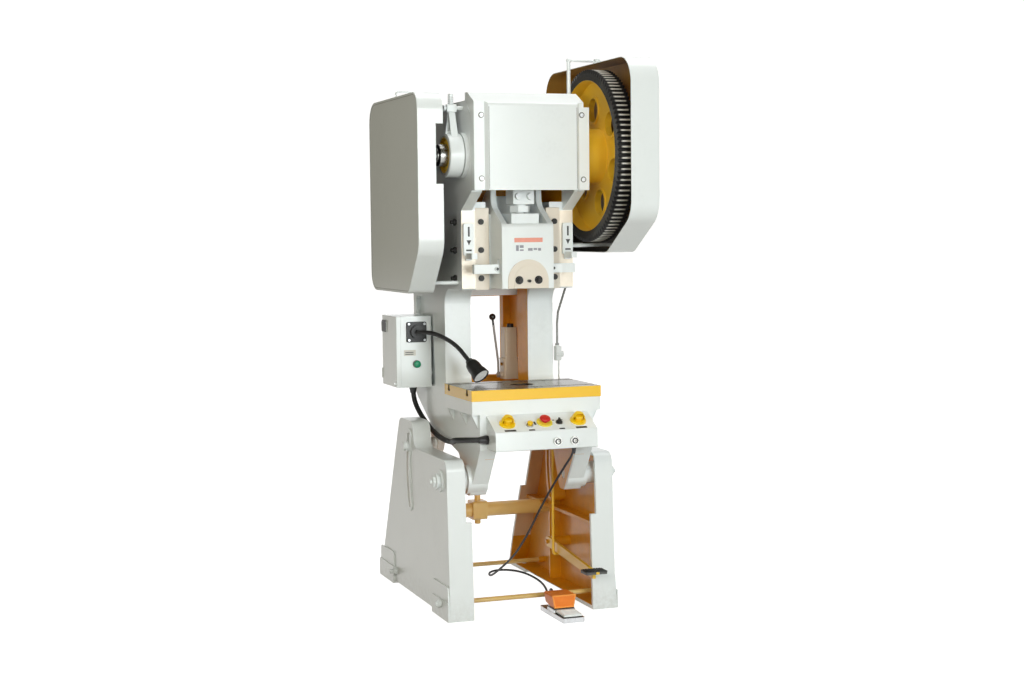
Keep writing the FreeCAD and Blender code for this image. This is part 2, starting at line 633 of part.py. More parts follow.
# Head: open at the front for the crank, with the slide's ways below.
frame.cut("YZ", -cheek_in, cheek_in, outline(
    (S.head_front_y - 1, S.way_top_z - 4), (S.way_front_y, S.way_top_z - 4),
    (S.way_front_y, S.way_top_z + 34), (S.ledge_y - 40, S.way_top_z + 34), (S.head_rear_y - 32, S.head_rear_z + 30),
    (S.head_rear_y - 32, S.head_top_z - 100, 40), (S.head_rear_y - 100, S.head_top_z - 30, 40),
    (S.head_front_y + 66, S.head_top_z - 30), (S.head_front_y - 1, S.head_top_z - 96)))
way_x = S.wing_half + S.guide_gap
frame.cut("XY", S.way_foot_z - 1, S.brow_z + 30, outline(
    (-way_x, S.way_front_y - 150), (way_x, S.way_front_y - 150), (way_x, S.slide_rear_y + 14),
    (-way_x, S.slide_rear_y + 14)))
frame.cut("XZ", S.way_front_y - 12, S.wing_front_y,
          oblong(-S.gib_outer, S.gib_outer, S.way_foot_z - 1, S.gib_top_z + 1))
# Cheeks are drawn in between the front post and the rear flange.
for side in SIDES:
    low, high = ((S.cheek_x - S.recess, S.cheek_x + 1) if side > 0
                 else (-S.cheek_x - 1, S.recess - S.cheek_x))
    frame.cut("YZ", low, high, outline(
        (post_rear + 14, S.bed_top_z + 10, 30), (S.back_y - 40, S.bed_top_z + 10, 30),
        (S.back_y - 40, S.ledge_z - 34, 30), (post_rear + 64, S.ledge_z - 34, 30)))
# Wings of the bed that carry the bolster, with gussets below.
frame.pad("XY", bed_floor, S.bed_top_z, oblong(
    -S.bed_half, S.bed_half, S.bed_front_y, S.bed_wing_rear_y, 3),
    ring(0, S.slide_y, S.bed_bore))
for side in SIDES:
    for gusset_y in (S.bed_front_y + 30, S.slide_y, S.bed_wing_rear_y - 14):
        frame.pad("XZ", gusset_y - S.gusset / 2, gusset_y + S.gusset / 2, outline(
            (side * (S.cheek_x - 2), bed_floor - 62), (side * (S.cheek_x - 2), bed_floor + 1),
            (side * (S.bed_half - 4), bed_floor + 1)))
# Bosses: tilt pivot, lock bolt, crank bearings, pinion bearings, box studs.
for side in SIDES:
    def span(low, high):
        return (low, high) if side > 0 else (-high, -low)
    frame.pad("YZ", *span(S.toe_inner, S.leg_flange_x - S.side_gap),
              ring(S.pivot_y, S.pivot_z, S.frame_boss))
    frame.cut("YZ", *span(S.toe_inner - 1, S.leg_flange_x), ring(S.pivot_y, S.pivot_z, S.pivot_pin))
    frame.pad("YZ", *span(S.cheek_x - S.cheek_wall, S.cheek_x), outline(
        (lock_y - 42, lock_z - 10, 20), (lock_y - 10, lock_z - 42, 20), (lock_y + 42, lock_z - 20, 20),
        (lock_y + 80, S.belly_mid_z + 30), (lock_y - 80, S.belly_mid_z)))
    frame.pad("YZ", *span(S.cheek_x, S.leg_neck_x - S.side_gap), ring(lock_y, lock_z, 34))
    frame.cut("YZ", *span(S.cheek_x - S.cheek_wall - 1, S.leg_neck_x),
              ring(lock_y, lock_z, S.lock_bolt))
    frame.pad("YZ", *span(S.bush_inner_x, S.boss_x), ring(S.slide_y, S.crank_z, S.boss))
    frame.cut("YZ", *span(S.bush_inner_x - 1, S.boss_x + 1), ring(S.slide_y, S.crank_z, S.bush))
    frame.pad("YZ", *span(S.bush_inner_x + 30, S.boss_x), ring(pinion_y, S.crank_z, S.pinion_boss))
    frame.cut("YZ", *span(S.bush_inner_x + 29, S.boss_x + 1),
              ring(pinion_y, S.crank_z, S.pinion_shaft + S.running))
frame.cut("XY", S.belly_z - 30, S.pull_rod_top + 10, ring(S.pull_rod_x, S.pull_rod_y, S.pull_rod + 0.5))
for stud_z in (S.box_foot_z + 60, S.box_top_z - 60):
    frame.pad("YZ", -S.cheek_x, S.recess - S.cheek_x + 1, ring(S.box_front_y + 60, stud_z, 15))
node("press_frame", frame)

bush_outer = S.bush - S.running
node("crank_bushes", group("crank_bushes", [
    turned("crank_bush", [
        (S.journal + S.running, side * S.bush_inner_x), (bush_outer, side * S.bush_inner_x),
        (bush_outer, side * S.boss_x), (S.journal + S.running, side * S.boss_x)],
        "X", y=S.slide_y, z=S.crank_z) for side in SIDES]))

lock_out = S.leg_face_x + S.foot_pad
locks = []
for side in SIDES:
    locks.append(turned("lock_bolt", [
        (0, side * (S.cheek_x - S.cheek_wall)), (S.lock_bolt - S.running, side * (S.cheek_x - S.cheek_wall)),
        (S.lock_bolt - S.running, side * (lock_out + 0.5)), (S.slot_rim - 4, side * (lock_out + 0.5)),
        (S.slot_rim - 4, side * (lock_out + 5)), (S.slot_half + 6, side * (lock_out + 5)),
        (S.slot_half + 6, side * (lock_out + 22), 3), (0, side * (lock_out + 22))],
        "X", y=lock_y, z=lock_z))
node("lock_bolts", group("lock_bolts", locks))

bolster = Casting("bolster_plate")
bolster_rear = S.bolster_front_y + S.bolster_depth
bolster_top = S.bed_top_z + S.bolster_thick
bolster.pad("XY", S.bed_top_z, bolster_top,
            oblong(-S.bolster_half, S.bolster_half, S.bolster_front_y, bolster_rear, 2),
            ring(0, S.slide_y, S.bolster_bore))
for slot_y in (S.bolster_front_y + S.slot_inset, bolster_rear - S.slot_inset):
    for low, high, half in ((S.slot_deep, S.slot_neck, S.slot_wide), (S.slot_neck + 1, -1, S.slot_mouth)):
        bolster.cut("YZ", -S.bolster_half - 1, S.bolster_half + 1,
                    oblong(slot_y - half, slot_y + half, bolster_top - low, bolster_top - high))
node("bolster_plate", bolster)


# ---------------------------------------------------------------------------------------------
# Guides, slide, die clamp and knock-out bar
# ---------------------------------------------------------------------------------------------

gib_front = S.wing_front_y - S.gib_thick
gibs = Casting("guide_gib")
gibs.pad("XZ", gib_front, S.wing_front_y, oblong(S.gib_inner, S.gib_outer, S.way_foot_z, S.gib_top_z, 2))
node("guide_gibs", group("guide_gibs", [gibs.body, mirrored("left_gib", gibs.body)]))

bolt_levels = [S.guide_bolt_z + S.guide_bolt_step * i for i in range(3)]
guide_bolts = []
for side in SIDES:
    for level in bolt_levels:
        guide_bolts.append(fused(
            "gib_bolt",
            rod("gib_bolt_head", "Y", gib_front - 8, gib_front, S.guide_bolt_head,
                x=side * S.gib_bolt_x, z=level),
            hexagon("gib_bolt_socket", "Y", gib_front - 12, gib_front - 8, S.guide_bolt,
                    x=side * S.gib_bolt_x, z=level)))
        low, high = (S.cheek_x, S.cheek_x + 22) if side > 0 else (-S.cheek_x - 22, -S.cheek_x)
        guide_bolts.append(fused(
            "side_bolt",
            hexagon("side_bolt_nut", "X", low if side > 0 else low + 12, high - 12 if side > 0 else high,
                    S.guide_bolt_head + 2, y=S.side_bolt_y, z=level),
            rod("side_bolt_end", "X", low, high, S.guide_bolt, y=S.side_bolt_y, z=level)))
node("guide_bolts", group("guide_bolts", guide_bolts))

bar_low = S.bar_z - S.bar_height / 2
bar_high = S.bar_z + S.bar_height / 2
bar_front = S.bar_y - S.bar_thick / 2
bar_rear = S.bar_y + S.bar_thick / 2
clamp_top = S.slide_foot_z + S.clamp_block_z
plate_rear = S.slide_front_y + S.clamp_plate

slide = Casting("slide")
slide.pad("YZ", -S.slide_half, S.slide_half, outline(
    (S.slide_front_y, S.slide_foot_z), (S.slide_rear_y, S.slide_foot_z),
    (S.slide_rear_y, S.slide_top_z - 40, 40), (S.slide_y + 100, S.slide_top_z),
    (S.slide_y + 48, S.slide_top_z), (S.slide_y + 46, S.slide_top_z - 62, 60),
    (S.slide_front_y, S.slide_step_z - 2, 24)))
slide.pad("XY", S.slide_foot_z, S.slide_step_z + 40, outline(
    (-S.wing_half, S.wing_front_y + S.guide_gap), (S.wing_half, S.wing_front_y + S.guide_gap),
    (S.wing_half, S.wing_rear_y), (-S.wing_half, S.wing_rear_y)))
slide.cut("XZ", S.slide_front_y - 1, S.slide_rear_y - 26,
          oblong(-S.fork_half, S.fork_half, S.slide_step_z, S.slide_top_z + 1))
slide.cut("XY", S.ball_z - S.ball, S.slide_step_z + 1, ring(0, S.slide_y, S.ball + S.running))
# Seat of the die clamp, the die shank's half bore and the knock-out bar's slot.
slide.cut("XZ", S.slide_front_y - 1, plate_rear, outline(
    (-S.clamp_arc, S.slide_foot_z - 1), (S.clamp_arc, S.slide_foot_z - 1),
    (S.clamp_arc, S.slide_foot_z + S.clamp_arc, S.clamp_arc - 2),
    (-S.clamp_arc, S.slide_foot_z + S.clamp_arc, S.clamp_arc - 2)))
slide.cut("XZ", plate_rear - 1, S.slide_y,
          oblong(-S.clamp_block, S.clamp_block, S.slide_foot_z - 1, clamp_top))
slide.cut("XY", S.slide_foot_z - 1, S.slide_foot_z + S.shank_depth, ring(0, S.slide_y, S.shank_bore))
slide.cut("YZ", -S.slide_half - 1, S.slide_half + 1, oblong(
    bar_front - 1, bar_rear + 1, bar_low - 1, bar_high + S.bar_lift + 2, 3))
node("slide", slide)

clamp = Casting("die_clamp")
fit = 0.05
clamp.pad("XZ", S.slide_front_y - 3, plate_rear - fit, outline(
    (-S.clamp_arc + fit, S.slide_foot_z), (S.clamp_arc - fit, S.slide_foot_z),
    (S.clamp_arc - fit, S.slide_foot_z + S.clamp_arc - fit, S.clamp_arc - 2),
    (-S.clamp_arc + fit, S.slide_foot_z + S.clamp_arc - fit, S.clamp_arc - 2)))
clamp.pad("XZ", plate_rear - 1, S.slide_y - fit,
          oblong(-S.clamp_block + fit, S.clamp_block - fit, S.slide_foot_z, clamp_top - fit))
clamp.cut("XY", S.slide_foot_z - 1, S.slide_foot_z + S.shank_depth, ring(0, S.slide_y, S.shank_bore))
node("die_clamp", clamp)

clamp_face = S.slide_front_y - 3
clamp_level = S.slide_foot_z + S.clamp_bolt_z
clamp_bolts = []
for side in SIDES:
    clamp_bolts.append(fused(
        "clamp_nut",
        hexagon("clamp_nut_body", "Y", clamp_face - 14, clamp_face, 13,
                x=side * S.clamp_bolt_x, z=clamp_level),
        rod("clamp_stud", "Y", clamp_face - 24, clamp_face, 8,
            x=side * S.clamp_bolt_x, z=clamp_level)))
clamp_bolts.append(rod("clamp_set_screw", "Y", clamp_face - 18, clamp_face, 6, z=clamp_level - 4))
node("clamp_bolts", group("clamp_bolts", clamp_bolts))

bar = Casting("knockout_bar")
bar.pad("XZ", bar_front, bar_rear, oblong(-S.bar_half, S.bar_half, bar_low, bar_high, 3))
for side in SIDES:
    bar.pad("XZ", bar_front - 9, bar_front, ring(side * 123, S.bar_z, 9))
node("knockout_bar", bar)

stops = []
for side in SIDES:
    stop = Casting("knockout_stop")
    stop_x = side * S.stop_x
    half = S.stop_wide / 2
    stop.pad("XZ", S.stop_front_y, S.way_front_y, oblong(
        stop_x - half, stop_x + half, S.stop_foot_z, S.stop_top_z, 8))
    stop.pad("XZ", S.stop_front_y, S.way_front_y, oblong(
        stop_x - half * 0.6, stop_x + half * 0.6, S.stop_foot_z - 20, S.stop_foot_z + 6, 4))
    stop.pad("XY", S.stop_foot_z - 14, S.stop_foot_z + 10, oblong(
        stop_x - 13, stop_x + 13, bar_front, S.stop_front_y + 1, 4))
    stops.append(stop.body)
node("knockout_stops", group("knockout_stops", stops))


# ---------------------------------------------------------------------------------------------
# Crank train: crankshaft, connecting rod, ball screw
# ---------------------------------------------------------------------------------------------

pin_z = S.crank_z + S.throw
crank = Casting("crankshaft")
shaft_left = S.drum_left_x - 26
shaft_right = S.gear_x + S.gear_face + 4
crank.pad("YZ", shaft_left, -S.pin_half, ring(S.slide_y, S.crank_z, S.journal))
crank.pad("YZ", S.pin_half, shaft_right, ring(S.slide_y, S.crank_z, S.journal))
crank.pad("YZ", -S.pin_half - 1, S.pin_half + 1, ring(S.slide_y, pin_z, S.crank_pin))
for low, high in ((-S.web_outer, -S.pin_half), (S.pin_half, S.web_outer)):
    crank.pad("YZ", low, high, outline(
        (S.slide_y - S.web, S.crank_z - S.web, 60), (S.slide_y + S.web, S.crank_z - S.web, 60),
        (S.slide_y + S.web, pin_z + S.web - 14, 60), (S.slide_y - S.web, pin_z + S.web - 14, 60)))
crank.pad("YZ", shaft_left - 9, shaft_left, ring(S.slide_y, S.crank_z, 30))
# Keyed clutch sleeve that the gear runs on.
crank.pad("YZ", S.boss_x + 1, S.gear_x + S.gear_face, ring(S.slide_y, S.crank_z, S.gear_bore - S.running))
node("crankshaft", crank)

rod_eye = S.crank_pin + S.rod_swing
rod_high = S.crank_pin + S.rod_slack
conrod = Casting("connecting_rod")
conrod.pad("YZ", -S.rod_half, S.rod_half, outline(
    (S.slide_y - rod_eye - S.rod_wall, pin_z - rod_high - S.rod_wall, 40),
    (S.slide_y - S.rod_neck, pin_z - rod_high - S.rod_wall - 12, 20),
    (S.slide_y - S.rod_neck, S.rod_foot_z, 4), (S.slide_y + S.rod_neck, S.rod_foot_z, 4),
    (S.slide_y + S.rod_neck, pin_z - rod_high - S.rod_wall - 12, 20),
    (S.slide_y + rod_eye + S.rod_wall, pin_z - rod_high - S.rod_wall, 40),
    (S.slide_y + rod_eye + S.rod_wall, pin_z), (S.slide_y - rod_eye - S.rod_wall, pin_z)))
conrod.pad("XZ", S.slide_y - S.rod_neck, S.slide_y + S.rod_neck, oblong(
    -S.rod_neck, S.rod_neck, S.rod_foot_z, S.rod_foot_z + 60, 4))
conrod.cut("YZ", -S.rod_neck - 1, S.rod_neck + 1, outline(
    (S.slide_y - rod_eye, pin_z - rod_high, 36), (S.slide_y + rod_eye, pin_z - rod_high, 36),
    (S.slide_y + rod_eye, pin_z + 1), (S.slide_y - rod_eye, pin_z + 1)))
conrod.cut("XY", S.rod_foot_z - 1, S.screw_top_z + 4, ring(0, S.slide_y, S.screw + S.running))
for side in SIDES:
    conrod.pad("XZ", S.slide_y - S.rod_neck - 16, S.slide_y - S.rod_neck,
               ring(side * 26, S.rod_foot_z + 32, 14))
node("connecting_rod", conrod)

rod_cap = Casting("rod_cap")
rod_cap.pad("YZ", -S.rod_half, S.rod_half, outline(
    (S.slide_y - rod_eye - S.rod_wall, pin_z), (S.slide_y + rod_eye + S.rod_wall, pin_z),
    (S.slide_y + rod_eye + S.rod_wall, pin_z + rod_high + S.rod_wall, 40),
    (S.slide_y - rod_eye - S.rod_wall, pin_z + rod_high + S.rod_wall, 40)))
rod_cap.cut("YZ", -S.rod_half - 1, S.rod_half + 1, outline(
    (S.slide_y - rod_eye, pin_z - 1), (S.slide_y + rod_eye, pin_z - 1),
    (S.slide_y + rod_eye, pin_z + rod_high, 36), (S.slide_y - rod_eye, pin_z + rod_high, 36)))
for side in SIDES:
    for front in SIDES:
        rod_cap.pad("XY", pin_z + rod_high + S.rod_wall - 26, pin_z + rod_high + S.rod_wall + 2,
                    ring(side * 22, S.slide_y + front * (rod_eye + 1), 11))
node("rod_cap", rod_cap)

node("ball_screw", fused(
    "ball_screw",
    turned("ball_screw_body", [
        (0, S.ball_z), (S.ball - 14, S.ball_z), (S.ball - 14, S.lock_nut_foot_z),
        (S.screw, S.lock_nut_foot_z), (S.screw, S.screw_top_z, 3), (0, S.screw_top_z)], y=S.slide_y),
    ball("ball_end", S.ball, y=S.slide_y, z=S.ball_z),
    hexagon("ball_screw_hexagon", "Z", S.lock_nut_foot_z, S.lock_nut_top_z, S.lock_nut, y=S.slide_y)))

node("ball_cap", without(
    "ball_cap",
    box("ball_cap_block", (-S.cap, S.cap), (S.slide_y - S.cap, S.slide_y + S.cap),
        (S.slide_step_z, S.cap_top_z)),
    ball("ball_cap_seat", S.ball + S.running, y=S.slide_y, z=S.ball_z),
    rod("ball_cap_hole", "Z", S.slide_step_z - 1, S.cap_top_z + 1, S.ball - 8, y=S.slide_y)))


# ---------------------------------------------------------------------------------------------
# Gear drive: toothed wheels with involute flanks
# ---------------------------------------------------------------------------------------------

PRESSURE_ANGLE = math.radians(20)
BACKLASH = 0.35


def tooth_corners(teeth, module, steps):
    """Half a tooth's corners as (radius, angle from the tooth's middle), from root to tip."""
    pitch = teeth * module / 2
    base = pitch * math.cos(PRESSURE_ANGLE)
    root, tip = pitch - 1.25 * module, pitch + module
    half_pitch = (math.pi * module / 2 - BACKLASH) / 2 / pitch
    spread = half_pitch + math.tan(PRESSURE_ANGLE) - PRESSURE_ANGLE
    foot = max(root, base)
    corners = [] if root >= base else [(root, spread)]
    for step in range(steps + 1):
        radius = foot + (tip - foot) * step / steps
        slant = math.acos(min(base / radius, 1))
        corners.append((radius, spread - math.tan(slant) + slant))
    return corners


def toothed_face(teeth, module, steps, x):
    """The outline of a toothed wheel about the X axis, with a tooth pointing along +Y."""
    rising = tooth_corners(teeth, module, steps)
    corners = []
    for tooth in range(teeth):
        middle = 2 * math.pi * tooth / teeth
        for radius, angle in [(r, -a) for r, a in rising] + [(r, a) for r, a in reversed(rising)]:
            turn = middle + angle
            corners.append(Vector(x, radius * math.cos(turn), radius * math.sin(turn)))
    return Part.Face(Part.makePolygon(corners + corners[:1]))


def disc(x_low, x_high, radius, y=0, z=0):
    return Part.makeCylinder(float(radius), float(x_high) - float(x_low),
                             Vector(float(x_low), float(y), float(z)), Vector(1, 0, 0))


def crank_gear():
    """Toothed rim, a web with six round windows set back from both faces, and a long hub."""
    low, high = float(S.gear_x), float(S.gear_x + S.gear_face)
    web = float(S.gear_web_x)
    wheel = toothed_face(int(S.gear_teeth.value), float(S.module), 1, low).extrude(Vector(high - low, 0, 0))
    dish_front = disc(low - 1, web, S.gear_rim).cut(disc(low - 2, web + 1, S.gear_hub))
    dish_back = disc(web + float(S.gear_web), high + 1, S.gear_rim).cut(
        disc(web, high + 2, S.gear_hub - 10))
    wheel = wheel.cut(dish_front).cut(dish_back)
    windows, lips = [], []
    back = web + float(S.gear_web)
    for i in range(6):
        turn = math.radians(20 + 60 * i)
        across = float(S.gear_hole_arc) * math.cos(turn)
        up = float(S.gear_hole_arc) * math.sin(turn)
        windows.append(disc(web - 8, back + 8, S.gear_hole, across, up))
        lips.append(disc(web - 5, back + 5, S.gear_hole + 9, across, up))
    hub = disc(float(S.boss_x) + 1, low + 1, S.gear_hub)
    return wheel.fuse(lips).cut(Part.makeCompound(windows)).fuse(hub).cut(
        disc(float(S.boss_x), high + 2, S.gear_bore)).removeSplitter()


gear = node("crank_gear", formed("crank_gear", crank_gear()))
place(gear, 0, S.slide_y, S.crank_z)

shaft_low = S.flywheel_x - 6
shaft_high = S.gear_x + S.gear_face + 6
pinion_shape = toothed_face(int(S.pinion_teeth.value), float(S.module), 3, float(S.gear_x)).extrude(
    Vector(float(S.gear_face), 0, 0))
pinion_shape = pinion_shape.fuse([
    disc(shaft_low, S.boss_x + 4, S.pinion_shaft), disc(S.boss_x + 2, shaft_high, S.pinion_shaft + 8)])
pinion = node("pinion_shaft", formed("pinion_shaft", pinion_shape.removeSplitter()))
place(pinion, 0, pinion_y, S.crank_z)

# Flywheel: a grooved rim for three belts, a thin web and a hub.
rim_right = S.flywheel_x + S.flywheel_face
groove_mid = S.flywheel_x + S.flywheel_face / 2


def grooves(radius):
    """The rim's outline from left to right, with a wedge-shaped groove for each belt."""
    corners = []
    for i in (-1, 0, 1):
        middle = groove_mid + S.belt_pitch * i
        corners += [(radius, middle - 9), (radius - 14, middle - 5), (radius - 14, middle + 5),
                    (radius, middle + 9)]
    return corners


node("flywheel", turned("flywheel", [
    (S.pinion_shaft + S.running, S.flywheel_x + 4), (62, S.flywheel_x + 4), (62, groove_mid - 12),
    (S.flywheel - 44, groove_mid - 12), (S.flywheel - 44, S.flywheel_x), (S.flywheel, S.flywheel_x),
    *grooves(S.flywheel),
    (S.flywheel, rim_right), (S.flywheel - 44, rim_right), (S.flywheel - 44, groove_mid + 12),
    (62, groove_mid + 12), (62, rim_right + 8), (S.pinion_shaft + S.running, rim_right + 8)],
    "X", y=pinion_y, z=S.crank_z))

node("motor_pulley", turned("motor_pulley", [
    (14 + S.running, S.flywheel_x), (S.pulley, S.flywheel_x), *grooves(S.pulley),
    (S.pulley, rim_right), (14 + S.running, rim_right)], "X", y=S.motor_y, z=S.motor_z))


def drive_belts():
    """Three wedge belts, each run round the flywheel and the motor's pulley."""
    span = Vector(0, float(pinion_y - S.motor_y), float(S.crank_z - S.motor_z))
    big, small = float(S.flywheel) - 3, float(S.pulley) - 3
    aim = math.atan2(span.z, span.y)
    lean = math.acos((small - big) / span.Length)
    motor = Vector(0, float(S.motor_y), float(S.motor_z))
    wheel = motor + span

    def on(centre, radius, angle):
        return centre + Vector(0, math.cos(angle), math.sin(angle)) * radius

    def loop(reach):
        wide, narrow = big + reach, small + reach
        left, right = aim + lean, aim - lean
        return Part.Wire([
            Part.Arc(on(wheel, wide, right), on(wheel, wide, aim), on(wheel, wide, left)).toShape(),
            Part.LineSegment(on(wheel, wide, left), on(motor, narrow, left)).toShape(),
            Part.Arc(on(motor, narrow, left), on(motor, narrow, aim + math.pi),
                     on(motor, narrow, right)).toShape(),
            Part.LineSegment(on(motor, narrow, right), on(wheel, wide, right)).toShape()])

    belt = Part.Face(loop(3)).cut(Part.Face(loop(-6)))
    belts = []
    for i in (-1, 0, 1):
        middle = float(groove_mid + S.belt_pitch * i)
        run = belt.copy()
        run.translate(Vector(middle - 6.1, 0, 0))
        belts.append(run.extrude(Vector(12.2, 0, 0)))
    return Part.makeCompound(belts)


node("drive_belts", formed("drive_belts", drive_belts()))

# Motor on a plate that stands on the frame's rear ledge.
plate_top = S.motor_z - 90
motor_left = rim_right + 22
motor = Casting("motor")
motor.pad("YZ", motor_left, motor_left + S.motor_length, ring(S.motor_y, S.motor_z, S.motor_body))
motor.pad("YZ", motor_left + S.motor_length, motor_left + S.motor_length + 34,
          ring(S.motor_y, S.motor_z, S.motor_body - 12))
motor.pad("YZ", S.flywheel_x + 2, motor_left + 1, ring(S.motor_y, S.motor_z, 14))
motor.pad("YZ", motor_left + 40, motor_left + S.motor_length - 40, outline(
    (S.motor_y - 76, plate_top), (S.motor_y + 76, plate_top), (S.motor_y + 76, plate_top + 14),
    (S.motor_y + 50, S.motor_z - 55), (S.motor_y - 50, S.motor_z - 55), (S.motor_y - 76, plate_top + 14)))
for i in range(12):
    turn = 30 * i + 15
    if 195 < turn < 345:
        continue
    rib_y = S.motor_y + (S.motor_body + 3) * cosine(turn)
    rib_z = S.motor_z + (S.motor_body + 3) * sine(turn)
    motor.pad("YZ", motor_left + 14, motor_left + S.motor_length - 14, ring(rib_y, rib_z, 5))
motor.pad("XY", S.motor_z + S.motor_body - 6, S.motor_z + S.motor_body + 24, oblong(
    motor_left + 60, motor_left + 150, S.motor_y - 45, S.motor_y + 45, 6))
node("motor", motor)

bracket = Casting("motor_bracket")
bracket.pad("XY", plate_top - 12, plate_top, oblong(
    motor_left + 20, motor_left + S.motor_length - 20, S.motor_y - 86, S.motor_y + 90, 8))
bracket.pad("XZ", S.motor_y - 70, S.motor_y - 54, oblong(
    motor_left + 120, motor_left + S.motor_length - 30, S.ledge_z, plate_top - 11))
bracket.pad("XZ", S.motor_y + 54, S.motor_y + 70, oblong(
    motor_left + 120, motor_left + S.motor_length - 30, S.ledge_z, plate_top - 11))
node("motor_bracket", bracket)


# ---------------------------------------------------------------------------------------------
# Band brake
# ---------------------------------------------------------------------------------------------

drum_mid = (S.drum_left_x + S.drum_right_x) / 2
node("brake_drum", turned("brake_drum", [
    (S.journal + S.running, S.drum_left_x + 8), (S.journal + 16, S.drum_left_x + 8),
    (S.journal + 16, drum_mid - 4), (S.drum - 12, drum_mid - 4), (S.drum - 12, S.drum_left_x),
    (S.drum, S.drum_left_x), (S.drum, S.drum_right_x), (S.journal + S.running, S.drum_right_x)],
    "X", y=S.slide_y, z=S.crank_z))

band_in = S.drum + S.band_gap
band_out = band_in + S.band
band = Casting("brake_band")
band.pad("YZ", S.drum_left_x + 2, S.drum_right_x - 2, ring(S.slide_y, S.crank_z, band_out),
         ring(S.slide_y, S.crank_z, band_in))
lug_foot = S.crank_z + band_out - 6
lug_head = S.crank_z + S.lug_top
band.pad("YZ", drum_mid - 14, drum_mid + 14, outline(
    (S.slide_y - 56, lug_foot - 18), (S.slide_y - 28, lug_foot + 3), (S.slide_y + 28, lug_foot + 3),
    (S.slide_y + 56, lug_foot - 18), (S.slide_y + 13, lug_head - 30), (S.slide_y - 13, lug_head - 30)))
band.cut("YZ", drum_mid - 15, drum_mid + 15, outline(
    (S.slide_y - 26, lug_foot + 14, 5), (S.slide_y + 26, lug_foot + 14, 5),
    (S.slide_y + 5, lug_head - 46, 3), (S.slide_y - 5, lug_head - 46, 3)))
band.pad("YZ", drum_mid - 20, drum_mid + 20, oblong(
    S.slide_y - 17, S.slide_y + 17, lug_head - 32, lug_head, 5))
node("brake_band", band)

# Tension bolt across the lug and the sprung bolt that holds the band's end to the head.
bolt_z = S.crank_z + S.lug_top - 14
adjuster = [
    rod("brake_cross_bolt", "X", drum_mid + 20, -S.cheek_x, 8, y=S.slide_y, z=bolt_z),
    rod("brake_cross_head", "X", drum_mid - 33, drum_mid - 20, 12, y=S.slide_y, z=bolt_z),
    rod("brake_sprung_bolt", "Z", S.crank_z + S.lug_top, S.crank_z + S.lug_top + 44, 6,
        x=drum_mid, y=S.slide_y)]
for i in range(4):
    level = S.crank_z + S.lug_top + 8 * i + 2
    adjuster.append(rod("brake_spring_turn", "Z", level, level + 5, 12, x=drum_mid, y=S.slide_y))
adjuster.append(hexagon("brake_nut", "Z", S.crank_z + S.lug_top + 33, S.crank_z + S.lug_top + 42, 12,
                        x=drum_mid, y=S.slide_y))
node("brake_adjuster", group("brake_adjuster", [
    adjuster[0], adjuster[1], fused("brake_spring", *adjuster[2:])]))


# ---------------------------------------------------------------------------------------------
# Sheet-metal covers
# ---------------------------------------------------------------------------------------------

cover = Casting("crank_cover")
cover_y = S.crank_cover_y
CROWN = [(cover_y, S.crank_cover_foot), (S.head_front_y, S.crank_cover_foot),
         (S.head_front_y, S.head_top_z - 50), (S.head_front_y + 64, S.head_top_z + 1),
         (S.head_front_y + 64, S.crank_cover_top), (S.head_front_y + 34, S.crank_cover_top, 12),
         (cover_y, S.crank_cover_brow, 14)]
cover.pad("YZ", -S.crank_cover_half, S.crank_cover_half, outline(*CROWN))
cover_wall = S.sheet_wall
cover.cut("YZ", cover_wall - S.crank_cover_half, S.crank_cover_half - cover_wall, outline(
    (cover_y + 22 + cover_wall, S.crank_cover_foot - 1), (S.head_front_y + 1, S.crank_cover_foot - 1),
    (S.head_front_y + 1, S.head_top_z - 40), (S.head_front_y + 65, S.head_top_z),
    (S.head_front_y + 65, S.crank_cover_top - cover_wall),
    (S.head_front_y + 34, S.crank_cover_top - cover_wall),
    (cover_y + 22 + cover_wall, S.crank_cover_brow + 12 - cover_wall)))
step_half = S.crank_cover_step - cover_wall
cover.cut("XZ", cover_y + cover_wall, cover_y + 24 + cover_wall,
          oblong(-step_half, step_half, S.crank_cover_foot - 1, S.crank_cover_brow - cover_wall))
# Flanges set back from the raised middle panel, and the notch at the right flange's top.
for side in SIDES:
    cover.cut("XY", S.crank_cover_foot - 1, S.crank_cover_top + 1, outline(
        (side * S.crank_cover_step, cover_y - 1), (side * (S.crank_cover_half + 1), cover_y - 1),
        (side * (S.crank_cover_half + 1), cover_y + 15), (side * (S.crank_cover_step + 13), cover_y + 15)))
cover.cut("XZ", cover_y - 1, S.head_front_y + 65, oblong(
    S.crank_cover_half - 24, S.crank_cover_half + 1, S.crank_cover_brow - 12, S.crank_cover_top + 1))
node("crank_cover", cover)

GEAR_COVER = [
    (S.gear_cover_knee, S.gear_cover_foot, 80), (S.gear_cover_rear, S.gear_cover_foot, 70),
    (S.gear_cover_rear, S.gear_cover_top, 110), (S.gear_cover_front, S.gear_cover_top, 110),
    (S.gear_cover_front, S.gear_cover_chin, 110)]
guard = Casting("gear_cover")
guard.pad("YZ", S.gear_cover_x, S.gear_cover_out, outline(*GEAR_COVER))
guard.cut("YZ", S.gear_cover_x, S.gear_cover_out - S.sheet_wall, outline(*inset(GEAR_COVER, S.sheet_wall)))
lug_z = S.gear_cover_top + 8
guard.pad("XZ", S.slide_y - 12, S.slide_y + 12, oblong(
    S.gear_cover_x + 6, S.gear_cover_x + 26, S.gear_cover_top - 1, lug_z + 10, 3))
guard.cut("YZ", S.gear_cover_x + 5, S.gear_cover_x + 27, ring(S.slide_y, lug_z, S.stay - 3 + S.running))
node("gear_cover", guard)

